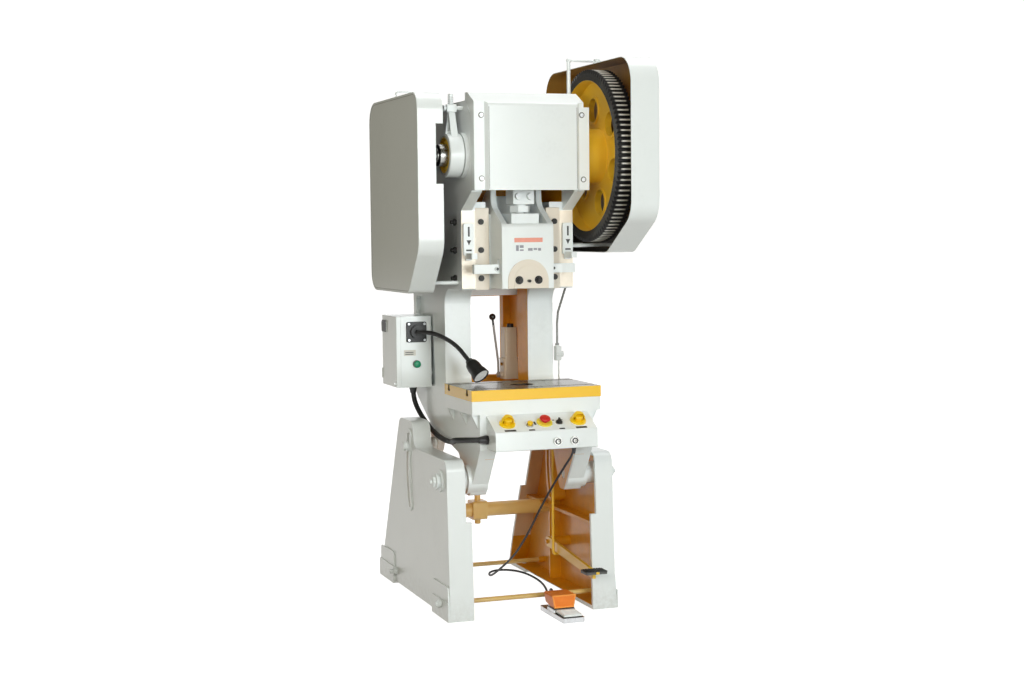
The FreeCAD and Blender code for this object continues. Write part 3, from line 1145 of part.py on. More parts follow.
BELT_COVER = [
    (S.belt_cover_front + S.belt_cover_toe, S.belt_cover_foot, 40),
    (S.belt_cover_rear, S.belt_cover_foot, 80),
    (S.belt_cover_rear, S.belt_cover_top, 90), (S.belt_cover_front, S.belt_cover_top, 70),
    (S.belt_cover_front, S.belt_cover_foot + S.belt_cover_chin, 110)]
hood = Casting("belt_cover")
hood.pad("YZ", S.belt_cover_out, S.belt_cover_x, outline(*BELT_COVER))
hood.cut("YZ", S.belt_cover_out + S.sheet_wall, S.belt_cover_x, outline(*inset(BELT_COVER, S.sheet_wall)))
hood.cut("XZ", S.belt_cover_front - 1, S.belt_cover_front + S.sheet_wall + 1,
         oblong(S.belt_cover_x - 30, S.belt_cover_x + 1, S.crank_z - 118, S.crank_z + 122))


def wire_tube(corners, radius, bend):
    """A bar bent round its corners: straight runs joined by arcs of one radius."""
    spots = [Vector(*[float(number) for number in corner]) for corner in corners]
    edges, start = [], spots[0]
    for before, here, after in zip(spots, spots[1:], spots[2:]):
        entry, leave, centre = rounding(before, here, after, float(bend))
        middle = centre + (here - centre).normalize() * float(bend)
        edges += [Part.LineSegment(start, entry).toShape(), Part.Arc(entry, middle, leave).toShape()]
        start = leave
    edges.append(Part.LineSegment(start, spots[-1]).toShape())
    return tube_along(edges, float(radius), spots[1] - spots[0])


def tube_along(edges, radius, way):
    path = Part.Wire(edges)
    start = path.Vertexes[0].Point
    section = Part.Wire(Part.makeCircle(radius, edges[0].Vertexes[0].Point, way))
    solid = path.makePipeShell([section], True, False)
    expected = math.pi * radius ** 2 * path.Length
    if abs(solid.Volume - expected) > 0.02 * expected:
        raise ValueError("tube from %s: volume %.0f, expected %.0f" % (start, solid.Volume, expected))
    return solid


# Stays: level studs that carry the two side covers, and the eye rod on the head.
gear_inner = S.gear_cover_out - S.sheet_wall
belt_inner = S.belt_cover_out + S.sheet_wall
stays = [rod("cover_stay", "X", S.cheek_x, gear_inner, S.stay, y=y, z=z) for y, z in (
    (S.way_front_y + 45, S.gear_cover_foot + 30), (S.ledge_y - 30, S.gear_cover_foot + 30),
    (S.head_rear_y - 40, S.head_top_z - 80))]
stays += [rod("cover_stay", "X", belt_inner, -S.cheek_x, S.stay, y=y, z=z) for y, z in (
    (S.way_front_y + 55, S.belt_cover_foot + 40), (S.throat_y - 30, S.head_top_z - 20),
    (S.head_rear_y - 90, S.ledge_z + 330))]
eye_x = S.cheek_x - 25
eye_z = lug_z
stays.append(fused(
    "eye_rod",
    rod("eye_post", "Z", S.head_top_z, eye_z - 6, S.stay, x=eye_x, y=S.slide_y),
    ball("eye_ball", S.stay + 3, x=eye_x, y=S.slide_y, z=eye_z),
    rod("eye_arm", "X", eye_x, S.gear_cover_x + 34, S.stay - 3, y=S.slide_y, z=eye_z)))
node("cover_stays", group("cover_stays", stays))

handle_x = (S.belt_cover_x + S.belt_cover_out) / 2
handle_y = S.throat_y - 5
handle_foot = S.belt_cover_top - S.sheet_wall
node("belt_cover", fused("belt_cover", hood.body, formed("cover_handle", wire_tube([
    (handle_x - 36, handle_y, handle_foot), (handle_x - 36, handle_y, handle_foot + 28),
    (handle_x + 36, handle_y, handle_foot + 28), (handle_x + 36, handle_y, handle_foot)], 4, 12))))


# ---------------------------------------------------------------------------------------------
# Operator's panel
# ---------------------------------------------------------------------------------------------

panel = Casting("control_panel")
PANEL = [(S.panel_nose_y, S.panel_foot_z, 4), (S.bed_front_y, S.panel_foot_z),
         (S.bed_front_y, S.panel_top_z), (S.panel_ridge_y, S.panel_ridge_z, 6)]
panel.pad("YZ", -S.panel_half, S.panel_half, outline(*PANEL))
panel.cut("YZ", S.sheet_wall - S.panel_half, S.panel_half - S.sheet_wall,
          outline(*inset(PANEL, S.sheet_wall)))
for knob_x in (41, 114):
    panel.pad("XZ", S.panel_nose_y - 12, S.panel_nose_y + 2, ring(knob_x, S.panel_foot_z + 32, 17))
    panel.cut("XZ", S.panel_nose_y - 13, S.panel_nose_y - 3, ring(knob_x, S.panel_foot_z + 32, 8))
panel_lean = math.degrees(math.atan2(float(S.panel_top_z - S.panel_ridge_z),
                                     float(S.bed_front_y - S.panel_ridge_y)))
slope = (S.panel_top_z - S.panel_ridge_z) / (S.bed_front_y - S.panel_ridge_y)
DESK_TURN = Rotation(Vector(1, 0, 0), panel_lean)


def on_desk(y):
    """Height of the sloping desk above a place on it."""
    return S.panel_ridge_z + slope * (size(y) - S.panel_ridge_y)


def desk_piece(name, corners, x, y):
    """A turned piece that stands square on the sloping desk."""
    piece = Casting(name)
    piece.spin("PartDesign::Revolution", corners)
    return place(piece.body, x, y, on_desk(y), DESK_TURN)


PANEL_BUTTONS = {
    # name: place across the desk and radius of the cap
    "left_palm_button": (-152, 18), "right_palm_button": (152, 18),
}
desk_y = S.panel_ridge_y + 50
buttons = {}
for name, (x, radius) in PANEL_BUTTONS.items():
    buttons[name] = desk_piece(name, [
        (0, 5.5), (radius - 5.6, 5.5), (radius - 5.6, 16), (radius, 18), (radius, 27, 4), (0, 31)],
        x, desk_y)
buttons["stop_button"] = desk_piece("stop_button", [
    (0, 5), (10, 5), (10, 15), (22, 17), (22, 26, 5), (0, 29)], 7, desk_y)
buttons["start_button"] = desk_piece("start_button", [(0, 4), (9, 4), (9, 12, 2), (0, 12)], -61, desk_y - 14)
selector = Casting("mode_selector")
selector.spin("PartDesign::Revolution", [(0, 4), (11, 4), (11, 12, 2), (0, 12)])
selector.pad("XY", 11, 20, oblong(-4, 4, -11, 11, 3))
buttons["mode_selector"] = place(selector.body, 68, desk_y - 6, on_desk(desk_y - 6), DESK_TURN)
for name, piece in buttons.items():
    node(name, piece)

# Collars on the desk: each lets its button's stem through.
collars = []
for x, y, outer, inner, high in ((-152, 0, 33, 13, 8), (152, 0, 33, 13, 8), (7, 0, 33, 10.5, 6),
                                 (-61, -14, 15, 9.5, 6), (68, -6, 15, 0, 3.5)):
    corners = [(inner, -3), (outer, -3), (outer, high, 2), (inner, high)]
    collars.append(desk_piece("button_collar", corners, x, desk_y + y))
# Half shrouds that keep each palm button from being struck from behind.
for x in (-152, 152):
    shroud = Casting("button_shroud")
    shroud.spin("PartDesign::Revolution", [
        (24, 6), (28, 6), (28, 14), (25, 26), (17, 38), (0, 44), (0, 41), (15, 35.5), (22, 24.5), (24, 13)])
    shroud.cut("XY", 8, 46, oblong(-40, 40, -40, -6))
    collars.append(place(shroud.body, x, desk_y, on_desk(desk_y), DESK_TURN))
node("control_panel", fused("control_panel", panel.body, *collars))


# ---------------------------------------------------------------------------------------------
# Electric box, door, lamp
# ---------------------------------------------------------------------------------------------

door_x = S.box_left_x + S.door_depth
cabinet = Casting("electric_box")
cabinet.pad("XZ", S.box_front_y, S.box_rear_y, oblong(door_x, -S.cheek_x, S.box_foot_z, S.box_top_z, 3))
cabinet.cut("YZ", door_x, -S.cheek_x - 2, oblong(
    S.box_front_y + 2, S.box_rear_y - 2, S.box_foot_z + 2, S.box_top_z - 2))
cabinet.cut("XZ", S.box_front_y - 1, S.box_front_y + 3, ring(S.lamp_x, S.box_foot_z + 102, 10.2))
node("electric_box", cabinet)

door = Casting("box_door")
door.pad("XZ", S.box_front_y, S.box_rear_y, oblong(
    S.box_left_x, door_x - 0.5, S.box_foot_z, S.box_top_z, 3))
door.cut("YZ", S.box_left_x + 2, door_x, oblong(
    S.box_front_y + 2, S.box_rear_y - 2, S.box_foot_z + 2, S.box_top_z - 2))
door.pad("YZ", S.box_left_x - 4, S.box_left_x + 1, oblong(
    S.box_rear_y - 70, S.box_rear_y - 14, S.box_top_z - 70, S.box_top_z - 26, 3))
door.pad("YZ", S.box_left_x - 9, S.box_left_x + 1, ring(S.box_front_y + 16, S.box_foot_z + 16, 7))
for hinge_z in (S.box_foot_z + 50, S.box_top_z - 50):
    door.pad("XY", hinge_z - 22, hinge_z + 22, ring(S.box_left_x, S.box_rear_y, 4.5))
node("box_door", door)

flange = Casting("lamp_flange")
flange.pad("XZ", S.box_front_y - 8, S.box_front_y, oblong(
    S.lamp_x - 45, S.lamp_x + 45, S.lamp_z - 45, S.lamp_z + 45, 8))
flange.pad("XZ", S.box_front_y - 24, S.box_front_y - 7, ring(S.lamp_x, S.lamp_z, 28))
for side in SIDES:
    for up in SIDES:
        flange.pad("XZ", S.box_front_y - 12, S.box_front_y - 7,
                   ring(S.lamp_x + side * 35, S.lamp_z + up * 35, 6))
node("lamp_flange", flange)

power = turned("power_button", [(0, 0), (10, 0, 2), (10, 24), (0, 24)],
               "Y", x=S.lamp_x, y=S.box_front_y - 14, z=S.box_foot_z + 102)
node("power_button", power)


def bend_radii(route):
    """Each arc of a cord is as large as its two runs allow."""
    radii = []
    for before, here, after in zip(route, route[1:], route[2:]):
        turn = math.pi - (before - here).getAngle(after - here)
        shorter = min((here - before).Length, (after - here).Length)
        radii.append(0.45 * shorter / math.tan(turn / 2))
    return radii


def cord(name, points, radius):
    """A flexible tube along a route: straight runs joined by tangent arcs."""
    route = [Vector(*point) for point in points]
    radii = bend_radii(route)
    print(name, "bend radii", [round(value) for value in radii])
    edges, start = [], route[0]
    for before, here, after, bend in zip(route, route[1:], route[2:], radii):
        entry, leave, centre = rounding(before, here, after, bend)
        middle = centre + (here - centre).normalize() * bend
        edges += [Part.LineSegment(start, entry).toShape(), Part.Arc(entry, middle, leave).toShape()]
        start = leave
    edges.append(Part.LineSegment(start, route[-1]).toShape())
    length = sum(edge.Length for edge in edges)
    print(name, "length %.0f" % length, "runs", [round((b - a).Length) for a, b in zip(route, route[1:])])
    return tube_along(edges, float(radius), route[1] - route[0])


LAMP_ROUTE = [
    (-313, 57.9, 1146), (-313, 26, 1146), (-308, -9, 1149), (-297, -48, 1150), (-283, -90, 1147),
    (-267, -130, 1139), (-249, -167, 1126), (-231, -201, 1109), (-216, -233, 1088), (-205, -262, 1065),
    (-193, -284, 1043)]
node("gooseneck", formed("gooseneck", cord("gooseneck", LAMP_ROUTE, S.gooseneck)))
lamp_end = Vector(*LAMP_ROUTE[-1])
lamp_way = (lamp_end - Vector(*LAMP_ROUTE[-2])).normalize()
LAMP_TURN = Rotation(Vector(0, 0, 1), lamp_way)
head = turned("lamp_head", [
    (0, 0), (15, 0), (18, 8), (26, 20), (S.lamp_head - 4, 38), (S.lamp_head - 4, 60), (S.lamp_head, 74),
    (S.lamp_head + 3, S.lamp_length), (S.lamp_head, S.lamp_length), (S.lamp_head - 4, 76), (0, 76)])
head.Placement = Placement(lamp_end, LAMP_TURN)
node("lamp_head", head)
lens = turned("lamp_lens", [
    (0, S.lamp_length - 10), (S.lamp_head - 3, S.lamp_length - 10),
    (S.lamp_head - 1.6, S.lamp_length - 5), (0, S.lamp_length - 2)])
lens.Placement = Placement(lamp_end, LAMP_TURN)
node("lamp_lens", lens)

CONDUIT_ROUTE = [
    (-283, 244, 903.8), (-283, 244, 862), (-279, 230, 822), (-272, 200, 789), (-266, 158, 762),
    (-261, 108, 740), (-259, 50, 722), (-258, -14, 708), (-258, -82, 699), (-258, -152, 695),
    (-260, -222, 697), (-268, -288, 704), (-284, -350, 713), (-305, -408, 723), (-323, -464, 733),
    (-331, -521, 742), (-310, -569, 747), (-268, -596, 748), (-218.7, -598, 747)]
node("conduit", formed("conduit", cord("conduit", CONDUIT_ROUTE, S.conduit)))


# ---------------------------------------------------------------------------------------------
# Foot lever, pull rod, foot switch and its cable
# ---------------------------------------------------------------------------------------------

lever_tip_y = S.lever_y - 525
lever_fall = 44
lever = Casting("foot_lever")
lever.pad("YZ", S.lever_x - 7, S.lever_x + 7, outline(
    (S.lever_y - 18, S.lever_z - 22), (S.lever_y + 22, S.lever_z - 22, 16),
    (S.lever_y + 22, S.lever_z + 22, 16), (S.lever_y - 18, S.lever_z + 22, 8),
    (lever_tip_y, S.lever_z - 30), (lever_tip_y, S.lever_z - 22 - lever_fall)))


def lever_foot(y):
    """Height of the lever's lower edge at a place along it."""
    return S.lever_z - 22 - lever_fall * (S.lever_y - 18 - y) / (S.lever_y - 18 - lever_tip_y)


lever.cut("YZ", S.lever_x - 8, S.lever_x + 8, ring(S.lever_y, S.lever_z, S.lever_pin + S.running))
lever.pad("XY", S.lever_z - 40, S.lever_z - 30, oblong(
    S.lever_x - 52, S.lever_x + 44, lever_tip_y - 42, lever_tip_y + 24, 8))
node("foot_lever", lever)

# The rod's foot is hooked below the lever, and its top runs in a blind hole in the frame's cheek.
hook_z = lever_foot(S.pull_rod_y) - S.pull_rod - 0.4
node("pull_rod", formed("pull_rod", wire_tube([
    (S.lever_x + 8, S.pull_rod_y, hook_z), (S.pull_rod_x, S.pull_rod_y, hook_z),
    (S.pull_rod_x, S.pull_rod_y, S.pull_rod_top)], S.pull_rod, 13)))

# Foot switch: a cast base with a hinged treadle in front of the flared switch housing.
switch_rear = S.switch_y + S.switch_length / 2
switch_front = S.switch_y - S.switch_length / 2
hood_front = S.switch_y - 22
hood_rear = S.switch_y + 72
hood_foot = 38
base = Casting("foot_switch_base")
base.pad("XY", 0, 20, oblong(
    S.switch_x - S.switch_half, S.switch_x + S.switch_half, switch_front, switch_rear, 10))
base.cut("XY", 9, 21, oblong(S.switch_x - S.switch_half + 7, S.switch_x + S.switch_half - 7,
                             switch_front + 10, hood_front - 6, 6))
base.pad("XY", 19, hood_foot - 0.3, oblong(
    S.switch_x - S.switch_half + 12, S.switch_x + S.switch_half - 12, hood_front + 26, hood_rear - 6, 5))
for side in SIDES:
    ear_x = S.switch_x + side * (S.switch_half - 4)
    base.pad("YZ", ear_x - 3, ear_x + 3, outline(
        (hood_front - 10, 18), (hood_rear - 20, 18), (hood_rear - 24, 34, 6), (hood_front - 4, 34, 6)))
node("foot_switch_base", base)

tread_z = 27
tread_y = hood_front + 4
treadle = Casting("foot_switch_treadle")
treadle.pad("YZ", S.switch_x - S.switch_half + 9, S.switch_x + S.switch_half - 9, outline(
    (tread_y + 8, tread_z - 5), (tread_y + 8, tread_z + 4), (tread_y - 20, tread_z + 7),
    (switch_front + 14, 30), (switch_front + 12, 23), (tread_y - 20, tread_z - 3)))
for side in SIDES:
    low, high = sorted((side * (S.switch_half - 10), side * (S.switch_half - 7.5)), key=float)
    treadle.pad("YZ", S.switch_x + low, S.switch_x + high, ring(tread_y, tread_z, 4))
node("foot_switch_treadle", treadle)

hood_box = Casting("foot_switch_hood")
hood_box.pad("XZ", hood_front, hood_rear, outline(
    (S.switch_x - 43, hood_foot, 4), (S.switch_x + 43, hood_foot, 4),
    (S.switch_x + 53, 92, 6), (S.switch_x - 53, 92, 6)))
hood_box.cut("YZ", S.switch_x - 60, S.switch_x + 60, outline(
    (hood_front + 40, hood_foot - 1), (hood_rear + 1, hood_foot - 1), (hood_rear + 1, hood_foot + 12)))
node("foot_switch_hood", hood_box)

CORD_ROUTE = [
    (102, -507, 70), (104, -472, 76), (112, -432, 80), (124, -388, 70), (140, -340, 46),
    (158, -288, 22), (176, -228, 9), (194, -166, 5.5), (212, -104, 5.5), (228, -41, 5.5),
    (240, 24, 5.5), (248, 90, 5.5), (250, 156, 5.5), (248, 220, 5.5), (239, 280, 5.5), (218, 331, 5.5),
    (182, 364, 5.5), (140, 368, 5.5), (104, 342, 5.5), (82, 298, 5.5), (72, 246, 9), (71, 194, 27),
    (74, 140, 54), (78, 82, 84), (81, 18, 118), (84, -50, 158), (87, -120, 208), (90, -190, 264),
    (94, -258, 326), (98, -324, 392), (104, -392, 458), (112, -460, 522), (121, -526, 584),
    (130, -586, 638), (136, -628, 676), (136, -639.2, 706.2)]
node("foot_switch_cable", formed("foot_switch_cable", cord("foot_switch_cable", CORD_ROUTE, S.cord)))


# ---------------------------------------------------------------------------------------------
# Hand pump for the guides' oil, and the oil pipe
# ---------------------------------------------------------------------------------------------

pump_wall = S.cheek_x - S.recess - 25
pump = Casting("oil_pump")
pump.pad("XY", S.pump_foot_z, S.pump_foot_z + 92, oblong(
    S.pump_x - 40, S.pump_x + 30, S.pump_y - 30, S.pump_y + 40, 10))
pump.pad("XY", S.pump_foot_z + 92, S.pump_foot_z + 232, oblong(
    S.pump_x - 34, S.pump_x + 24, S.pump_y - 26, S.pump_y + 36, 8))
pump.pad("XY", S.pump_foot_z + 86, S.pump_foot_z + 94, oblong(
    S.pump_x - 44, pump_wall, S.pump_y - 20, S.pump_y + 30, 4))
pump.pad("YZ", S.pump_x - 52, S.pump_x - 39, ring(S.pump_y, S.pump_foot_z + 20, 12))
node("oil_pump", pump)

stick = Casting("pump_lever")
lever_low = S.pump_foot_z + 20
stick.pad("YZ", S.pump_x - 64, S.pump_x - 52.3, ring(S.pump_y, lever_low, 12))
node("pump_lever", fused(
    "pump_lever", stick.body,
    formed("pump_stick", wire_tube([
        (S.pump_x - 58, S.pump_y, lever_low + 4), (S.pump_x - 60, S.pump_y - 2, lever_low + 60),
        (S.pump_x - 84, S.pump_y - 2, lever_low + 250)], 5, 60)),
    ball("pump_knob", 15, x=S.pump_x - 85, y=S.pump_y - 2, z=lever_low + 260)))

# Hose from the guides down to a small distributor on the cheek, and the feed pipe below it.
pipe_x = S.cheek_x + 12
hose = wire_tube([
    (S.cheek_x, -262, 1372), (pipe_x, -262, 1372), (pipe_x, -262, 1352), (pipe_x, -160, 1230),
    (pipe_x, -147, 1180), (pipe_x, -147, 1076)], 5, 9)
feed = wire_tube([
    (pipe_x, -163, 1026), (pipe_x, -163, 948), (pipe_x, -175, 930), (pipe_x, -175, 872),
    (S.cheek_x, -175, 872)], 3.5, 9)
cheek_face = float(S.cheek_x)
distributor = Part.makeBox(24, 32, 62, Vector(cheek_face, -168, 1018))
distributor = distributor.fuse(disc(cheek_face, cheek_face + 34, 13, -158, 1046))
distributor = distributor.fuse(Part.makeCylinder(9, 18, Vector(float(pipe_x), -147, 1074)))
node("oil_pipe", formed("oil_pipe", distributor.fuse([hose, feed])))


# ---------------------------------------------------------------------------------------------
# Checks and export
# ---------------------------------------------------------------------------------------------

doc.recompute()

faults = []
for item in doc.Objects:
    if "Invalid" in item.State or "Error" in item.State:
        faults.append("%s failed" % item.Label)
for name, solid in NODES.items():
    shape = solid.Shape
    if shape.isNull() or not shape.isValid() or not shape.Solids:
        faults.append("%s has no valid solid" % name)
if faults:
    raise ValueError("; ".join(faults))

os.makedirs("parts", exist_ok=True)
for name, solid in NODES.items():
    solid.Shape.exportStep(os.path.join("parts", name + ".step"))
print(len(NODES), "nodes")
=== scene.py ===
import math

import bmesh
import bpy
from mathutils import Matrix, Vector


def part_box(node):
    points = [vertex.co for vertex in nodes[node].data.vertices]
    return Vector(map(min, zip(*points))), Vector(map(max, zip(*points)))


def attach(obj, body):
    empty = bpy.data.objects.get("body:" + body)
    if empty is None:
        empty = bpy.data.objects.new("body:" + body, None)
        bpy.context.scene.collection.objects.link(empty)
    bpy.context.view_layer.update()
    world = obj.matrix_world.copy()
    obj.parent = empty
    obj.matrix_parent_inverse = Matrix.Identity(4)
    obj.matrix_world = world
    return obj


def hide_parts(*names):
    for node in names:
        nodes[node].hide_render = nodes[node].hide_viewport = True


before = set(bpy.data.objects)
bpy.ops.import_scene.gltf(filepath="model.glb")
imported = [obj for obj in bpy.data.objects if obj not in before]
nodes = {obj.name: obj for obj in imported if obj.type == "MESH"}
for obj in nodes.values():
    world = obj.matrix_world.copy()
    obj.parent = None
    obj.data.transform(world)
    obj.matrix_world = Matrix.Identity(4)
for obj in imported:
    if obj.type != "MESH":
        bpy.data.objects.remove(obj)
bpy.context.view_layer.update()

MM = 0.001

# What several pieces or masks refer to, in millimetres in the row frame.
SHAFT_Y, SHAFT_Z = -400, 1890  # the crankshaft's axis, along X
PIVOT_Y, PIVOT_Z = -415, 563  # the pins that the frame tilts on
DESK_Y, DESK_Z = -693, 784  # the front edge of the panel's desk
DESK_SLOPE = 0.5133  # the desk's rise towards the rear


# ----------------------------------------------------------
# Materials
# ----------------------------------------------------------

NOISE_ROUGHNESS = 0.55  # how much of the finer noise shows


class Look:
    """A material's node tree. A term is a number, a colour or another node's output."""

    def __init__(self, name, roughness=0.5, metallic=0.0, **sockets):
        self.material = bpy.data.materials.new(name)
        self.material.use_nodes = True
        self.tree = self.material.node_tree
        self.shader = self.tree.nodes["Principled BSDF"]
        self.shader.inputs["Roughness"].default_value = roughness
        self.shader.inputs["Metallic"].default_value = metallic
        for socket, value in sockets.items():
            self.shader.inputs[socket.replace("_", " ")].default_value = value
        frame_of_piece = self.node("ShaderNodeTexCoord")
        self.place = frame_of_piece.outputs["Object"]
        self.facing = frame_of_piece.outputs["Normal"]
        split = self.node("ShaderNodeSeparateXYZ", self.place)
        self.x, self.y, self.z = split.outputs
        self.heights = []

    def node(self, kind, *terms):
        node = self.tree.nodes.new(kind)
        for socket, term in zip(node.inputs, terms):
            self.feed(socket, term)
        return node

    def feed(self, socket, term):
        if isinstance(term, bpy.types.NodeSocket):
            self.tree.links.new(term, socket)
        elif term is not None:
            socket.default_value = term

    def math(self, operation, *terms):
        node = self.node("ShaderNodeMath", *terms)
        node.operation = operation
        return node.outputs[0]

    def noise(self, scale, detail=3.0, stretch=(1, 1, 1)):
        spot = self.place
        if stretch != (1, 1, 1):
            scaling = self.node("ShaderNodeVectorMath", self.place, stretch)
            scaling.operation = "MULTIPLY"
            spot = scaling.outputs[0]
        node = self.node("ShaderNodeTexNoise")
        self.feed(node.inputs["Vector"], spot)
        self.feed(node.inputs["Scale"], scale)
        self.feed(node.inputs["Detail"], detail)
        self.feed(node.inputs["Roughness"], NOISE_ROUGHNESS)
        return node.outputs["Fac"]

    def spread(self, value, low, high, to_low=0.0, to_high=1.0):
        """Maps a value from one range to another, and stops at its ends."""
        node = self.node("ShaderNodeMapRange", value, low, high, to_low, to_high)
        return node.outputs[0]

    def mix(self, share, first, second):
        """From the first colour to the second, as the share goes from 0 to 1."""
        node = self.node("ShaderNodeMix")
        node.data_type = "RGBA"
        for socket, term in ((node.inputs[0], share), (node.inputs[6], first), (node.inputs[7], second)):
            self.feed(socket, term)
        return node.outputs[2]

    def spread_mix(self, share, first, second):
        """Like mix, for numbers."""
        node = self.node("ShaderNodeMix")
        node.data_type = "FLOAT"
        for socket, term in ((node.inputs[0], share), (node.inputs[2], first), (node.inputs[3], second)):
            self.feed(socket, term)
        return node.outputs[0]

    def within(self, value, low, high, soft=0.0004):
        """1 where a value lies between two levels."""
        above = self.spread(value, low - soft, low + soft)
        below = self.spread(value, high - soft, high + soft, 1.0, 0.0)
        return self.math("MULTIPLY", above, below)

    def both(self, *masks):
        """1 where all the masks are."""
        whole = masks[0]
        for mask in masks[1:]:
            whole = self.math("MULTIPLY", whole, mask)
        return whole

    def either(self, *masks):
        """1 where any of the masks is."""
        whole = masks[0]
        for mask in masks[1:]:
            whole = self.math("MAXIMUM", whole, mask)
        return whole

    def radius(self, y, z):
        """Distance from a level axis along X, which is given in millimetres."""
        across = self.math("SUBTRACT", self.y, y * MM)
        up = self.math("SUBTRACT", self.z, z * MM)
        squares = self.math("ADD", self.math("MULTIPLY", across, across), self.math("MULTIPLY", up, up))
        return self.math("SQRT", squares)

    def bump(self, height, depth):
        """Adds relief, its depth in metres."""
        self.heights.append(self.math("MULTIPLY", height, depth))

    def finish(self, colour, roughness=None, metallic=None):
        self.feed(self.shader.inputs["Base Color"], colour)
        self.feed(self.shader.inputs["Roughness"], roughness)
        self.feed(self.shader.inputs["Metallic"], metallic)
        if self.heights:
            height = self.heights[0]
            for more in self.heights[1:]:
                height = self.math("ADD", height, more)
            bump = self.node("ShaderNodeBump")
            bump.inputs["Strength"].default_value = 1.0
            bump.inputs["Distance"].default_value = 1.0
            self.feed(bump.inputs["Height"], height)
            self.feed(self.shader.inputs["Normal"], bump.outputs[0])
        return self.material


def tint(red, green, blue):
    """A colour as seen on a screen, from 0 to 255, as the shader wants it."""
    levels = []
    for level in (red, green, blue):
        level = level / 255
        levels.append(level / 12.92 if level < 0.04045 else ((level + 0.055) / 1.055) ** 2.4)
    return (*levels, 1.0)


WHITE = tint(235, 241, 242)
YELLOW = tint(244, 200, 56)
AMBER = tint(228, 160, 8)
GOLD = tint(250, 214, 130)
CREAM = tint(228, 218, 202)
STEEL = tint(176, 176, 172)
SHADED_YELLOW = tint(170, 124, 52)
BLACK = tint(30, 30, 29)
IRON = tint(120, 118, 112)
SOCKET_STEEL = tint(200, 198, 190)


def paint(name, colour, roughness=0.3, cast=0.0, others=(), grime=0.2):
    """Enamel: a faint orange peel, the casting's unevenness below it, dust and oil in patches.

    Each of the others is (mask, colour, roughness, metallic): where a second finish shows, and in some,
    painted shade and painted highlights."""
    look = Look(name, Coat_Weight=0.25, Coat_Roughness=0.12)
    cloud = look.noise(5, 5)
    fine = look.noise(60, 4)
    shade = tuple(level * (1 - grime * 0.35) for level in colour[:3]) + (1.0,)
    dirt = look.spread(cloud, 0.5, 0.8)
    base = look.mix(look.math("MULTIPLY", dirt, look.spread(fine, 0.35, 0.7)), colour, shade)
    foot = look.spread(look.z, 0.0, 0.12, grime, 0.0)
    base = look.mix(look.math("MULTIPLY", foot, look.spread(fine, 0.3, 0.65)), base, tint(150, 140, 120))
    rough = look.spread(cloud, 0.3, 0.7, roughness - 0.01, roughness + 0.015)
    metal = None
    for mask, other, other_rough, other_metal in others:
        where = mask(look)
        mottled = look.mix(look.spread(look.noise(16, 4), 0.4, 0.8), other,
                        tuple(level * 0.84 for level in other[:3]) + (1.0,))
        base = look.mix(where, base, mottled)
        lift = look.spread(look.noise(120, 3), 0.3, 0.7, other_rough - 0.06, other_rough + 0.08)
        rough = look.spread_mix(where, rough, lift)
        if other_metal:
            metal = look.spread_mix(where, metal if metal is not None else 0.0, other_metal)
    look.bump(look.noise(500, 1), 0.000002)
    look.bump(look.noise(6, 1), 0.0004)
    if cast:
        look.bump(look.noise(60, 3), 0.00014 * cast)
        look.bump(look.noise(9, 2), 0.0010 * cast)
    return look.finish(base, rough, metal)


def metal(name, colour, roughness, grain=(1, 1, 1), stain=0.3, pitting=0.0):
    """Bare metal: machining lines along one way, oil stains and small pits."""
    look = Look(name, metallic=1.0)
    lines = look.noise(260, 3, grain)
    stains = look.noise(14, 5)
    shade = tuple(level * (1 - stain) for level in colour[:3]) + (1.0,)
    base = look.mix(look.spread(stains, 0.45, 0.75), colour, shade)
    rough = look.spread(lines, 0.3, 0.7, roughness - 0.08, roughness + 0.1)
    look.bump(lines, 0.000012)
    if pitting:
        look.bump(look.noise(400, 2), 0.00003 * pitting)
    return look.finish(base, rough)


def moulded(name, colour, roughness=0.45, grain=0.4):
    """Plastic or rubber with a fine moulded grain and a little dust."""
    look = Look(name)
    fine = look.noise(1400, 2)
    dust = look.spread(look.noise(35, 4), 0.5, 0.8)
    shade = tuple(min(level * 1.25 + 0.012, 1) for level in colour[:3]) + (1.0,)
    base = look.mix(look.math("MULTIPLY", dust, 0.6), colour, shade)
    look.bump(fine, 0.000015 * grain)
    return look.finish(base, look.spread(fine, 0.3, 0.7, roughness - 0.06, roughness + 0.08))


# ----------------------------------------------------------
# Where each casting changes colour: levels in metres, in the row frame
# ----------------------------------------------------------

def towards(look, x, y, z):
    """The faces that look towards a place."""
    outwards = look.node("ShaderNodeVectorMath", look.place, (x, y, z))
    outwards.operation = "SUBTRACT"
    side = look.node("ShaderNodeVectorMath", look.facing, outwards.outputs[0])
    side.operation = "DOT_PRODUCT"
    return look.spread(side.outputs["Value"], -0.002, 0.0, 1, 0)


def middle_box(look, half, across, up):
    """A box that reaches as far to either side of the middle plane."""
    side = look.math("ABSOLUTE", look.x)
    return look.both(look.within(side, -1, half), look.within(look.y, *across), look.within(look.z, *up))


def frame_inside(look):
    """The bed's underside, the passage between the posts and the hollow head."""
    side = look.math("ABSOLUTE", look.x)
    lean = look.math("MULTIPLY_ADD", look.z, -0.6942, -0.0870)
    toes = look.both(look.within(side, -1, 0.1764), look.within(look.z, 0.4, 0.7035),
                     look.spread(look.math("SUBTRACT", look.y, lean), 0.008, 0.009))
    bed = middle_box(look, 0.2158, (-0.5508, 0.35), (0.66, 0.8458))
    passage = look.both(middle_box(look, 0.1312, (-0.1222, 0.3454), (0.9006, 1.3460)),
                        towards(look, 0, 0.11, 1.12))
    hollow = look.both(middle_box(look, 0.2208, (0.0052, 0.3454), (0.8700, 1.3290)),
                       towards(look, 0, 0.17, 1.10))
    head = look.both(middle_box(look, 0.2206, (-0.3600, 0.0990), (1.6900, 2.0805)),
                     towards(look, 0, -0.15, 1.88))
    return look.either(toes, bed, passage, hollow, head)


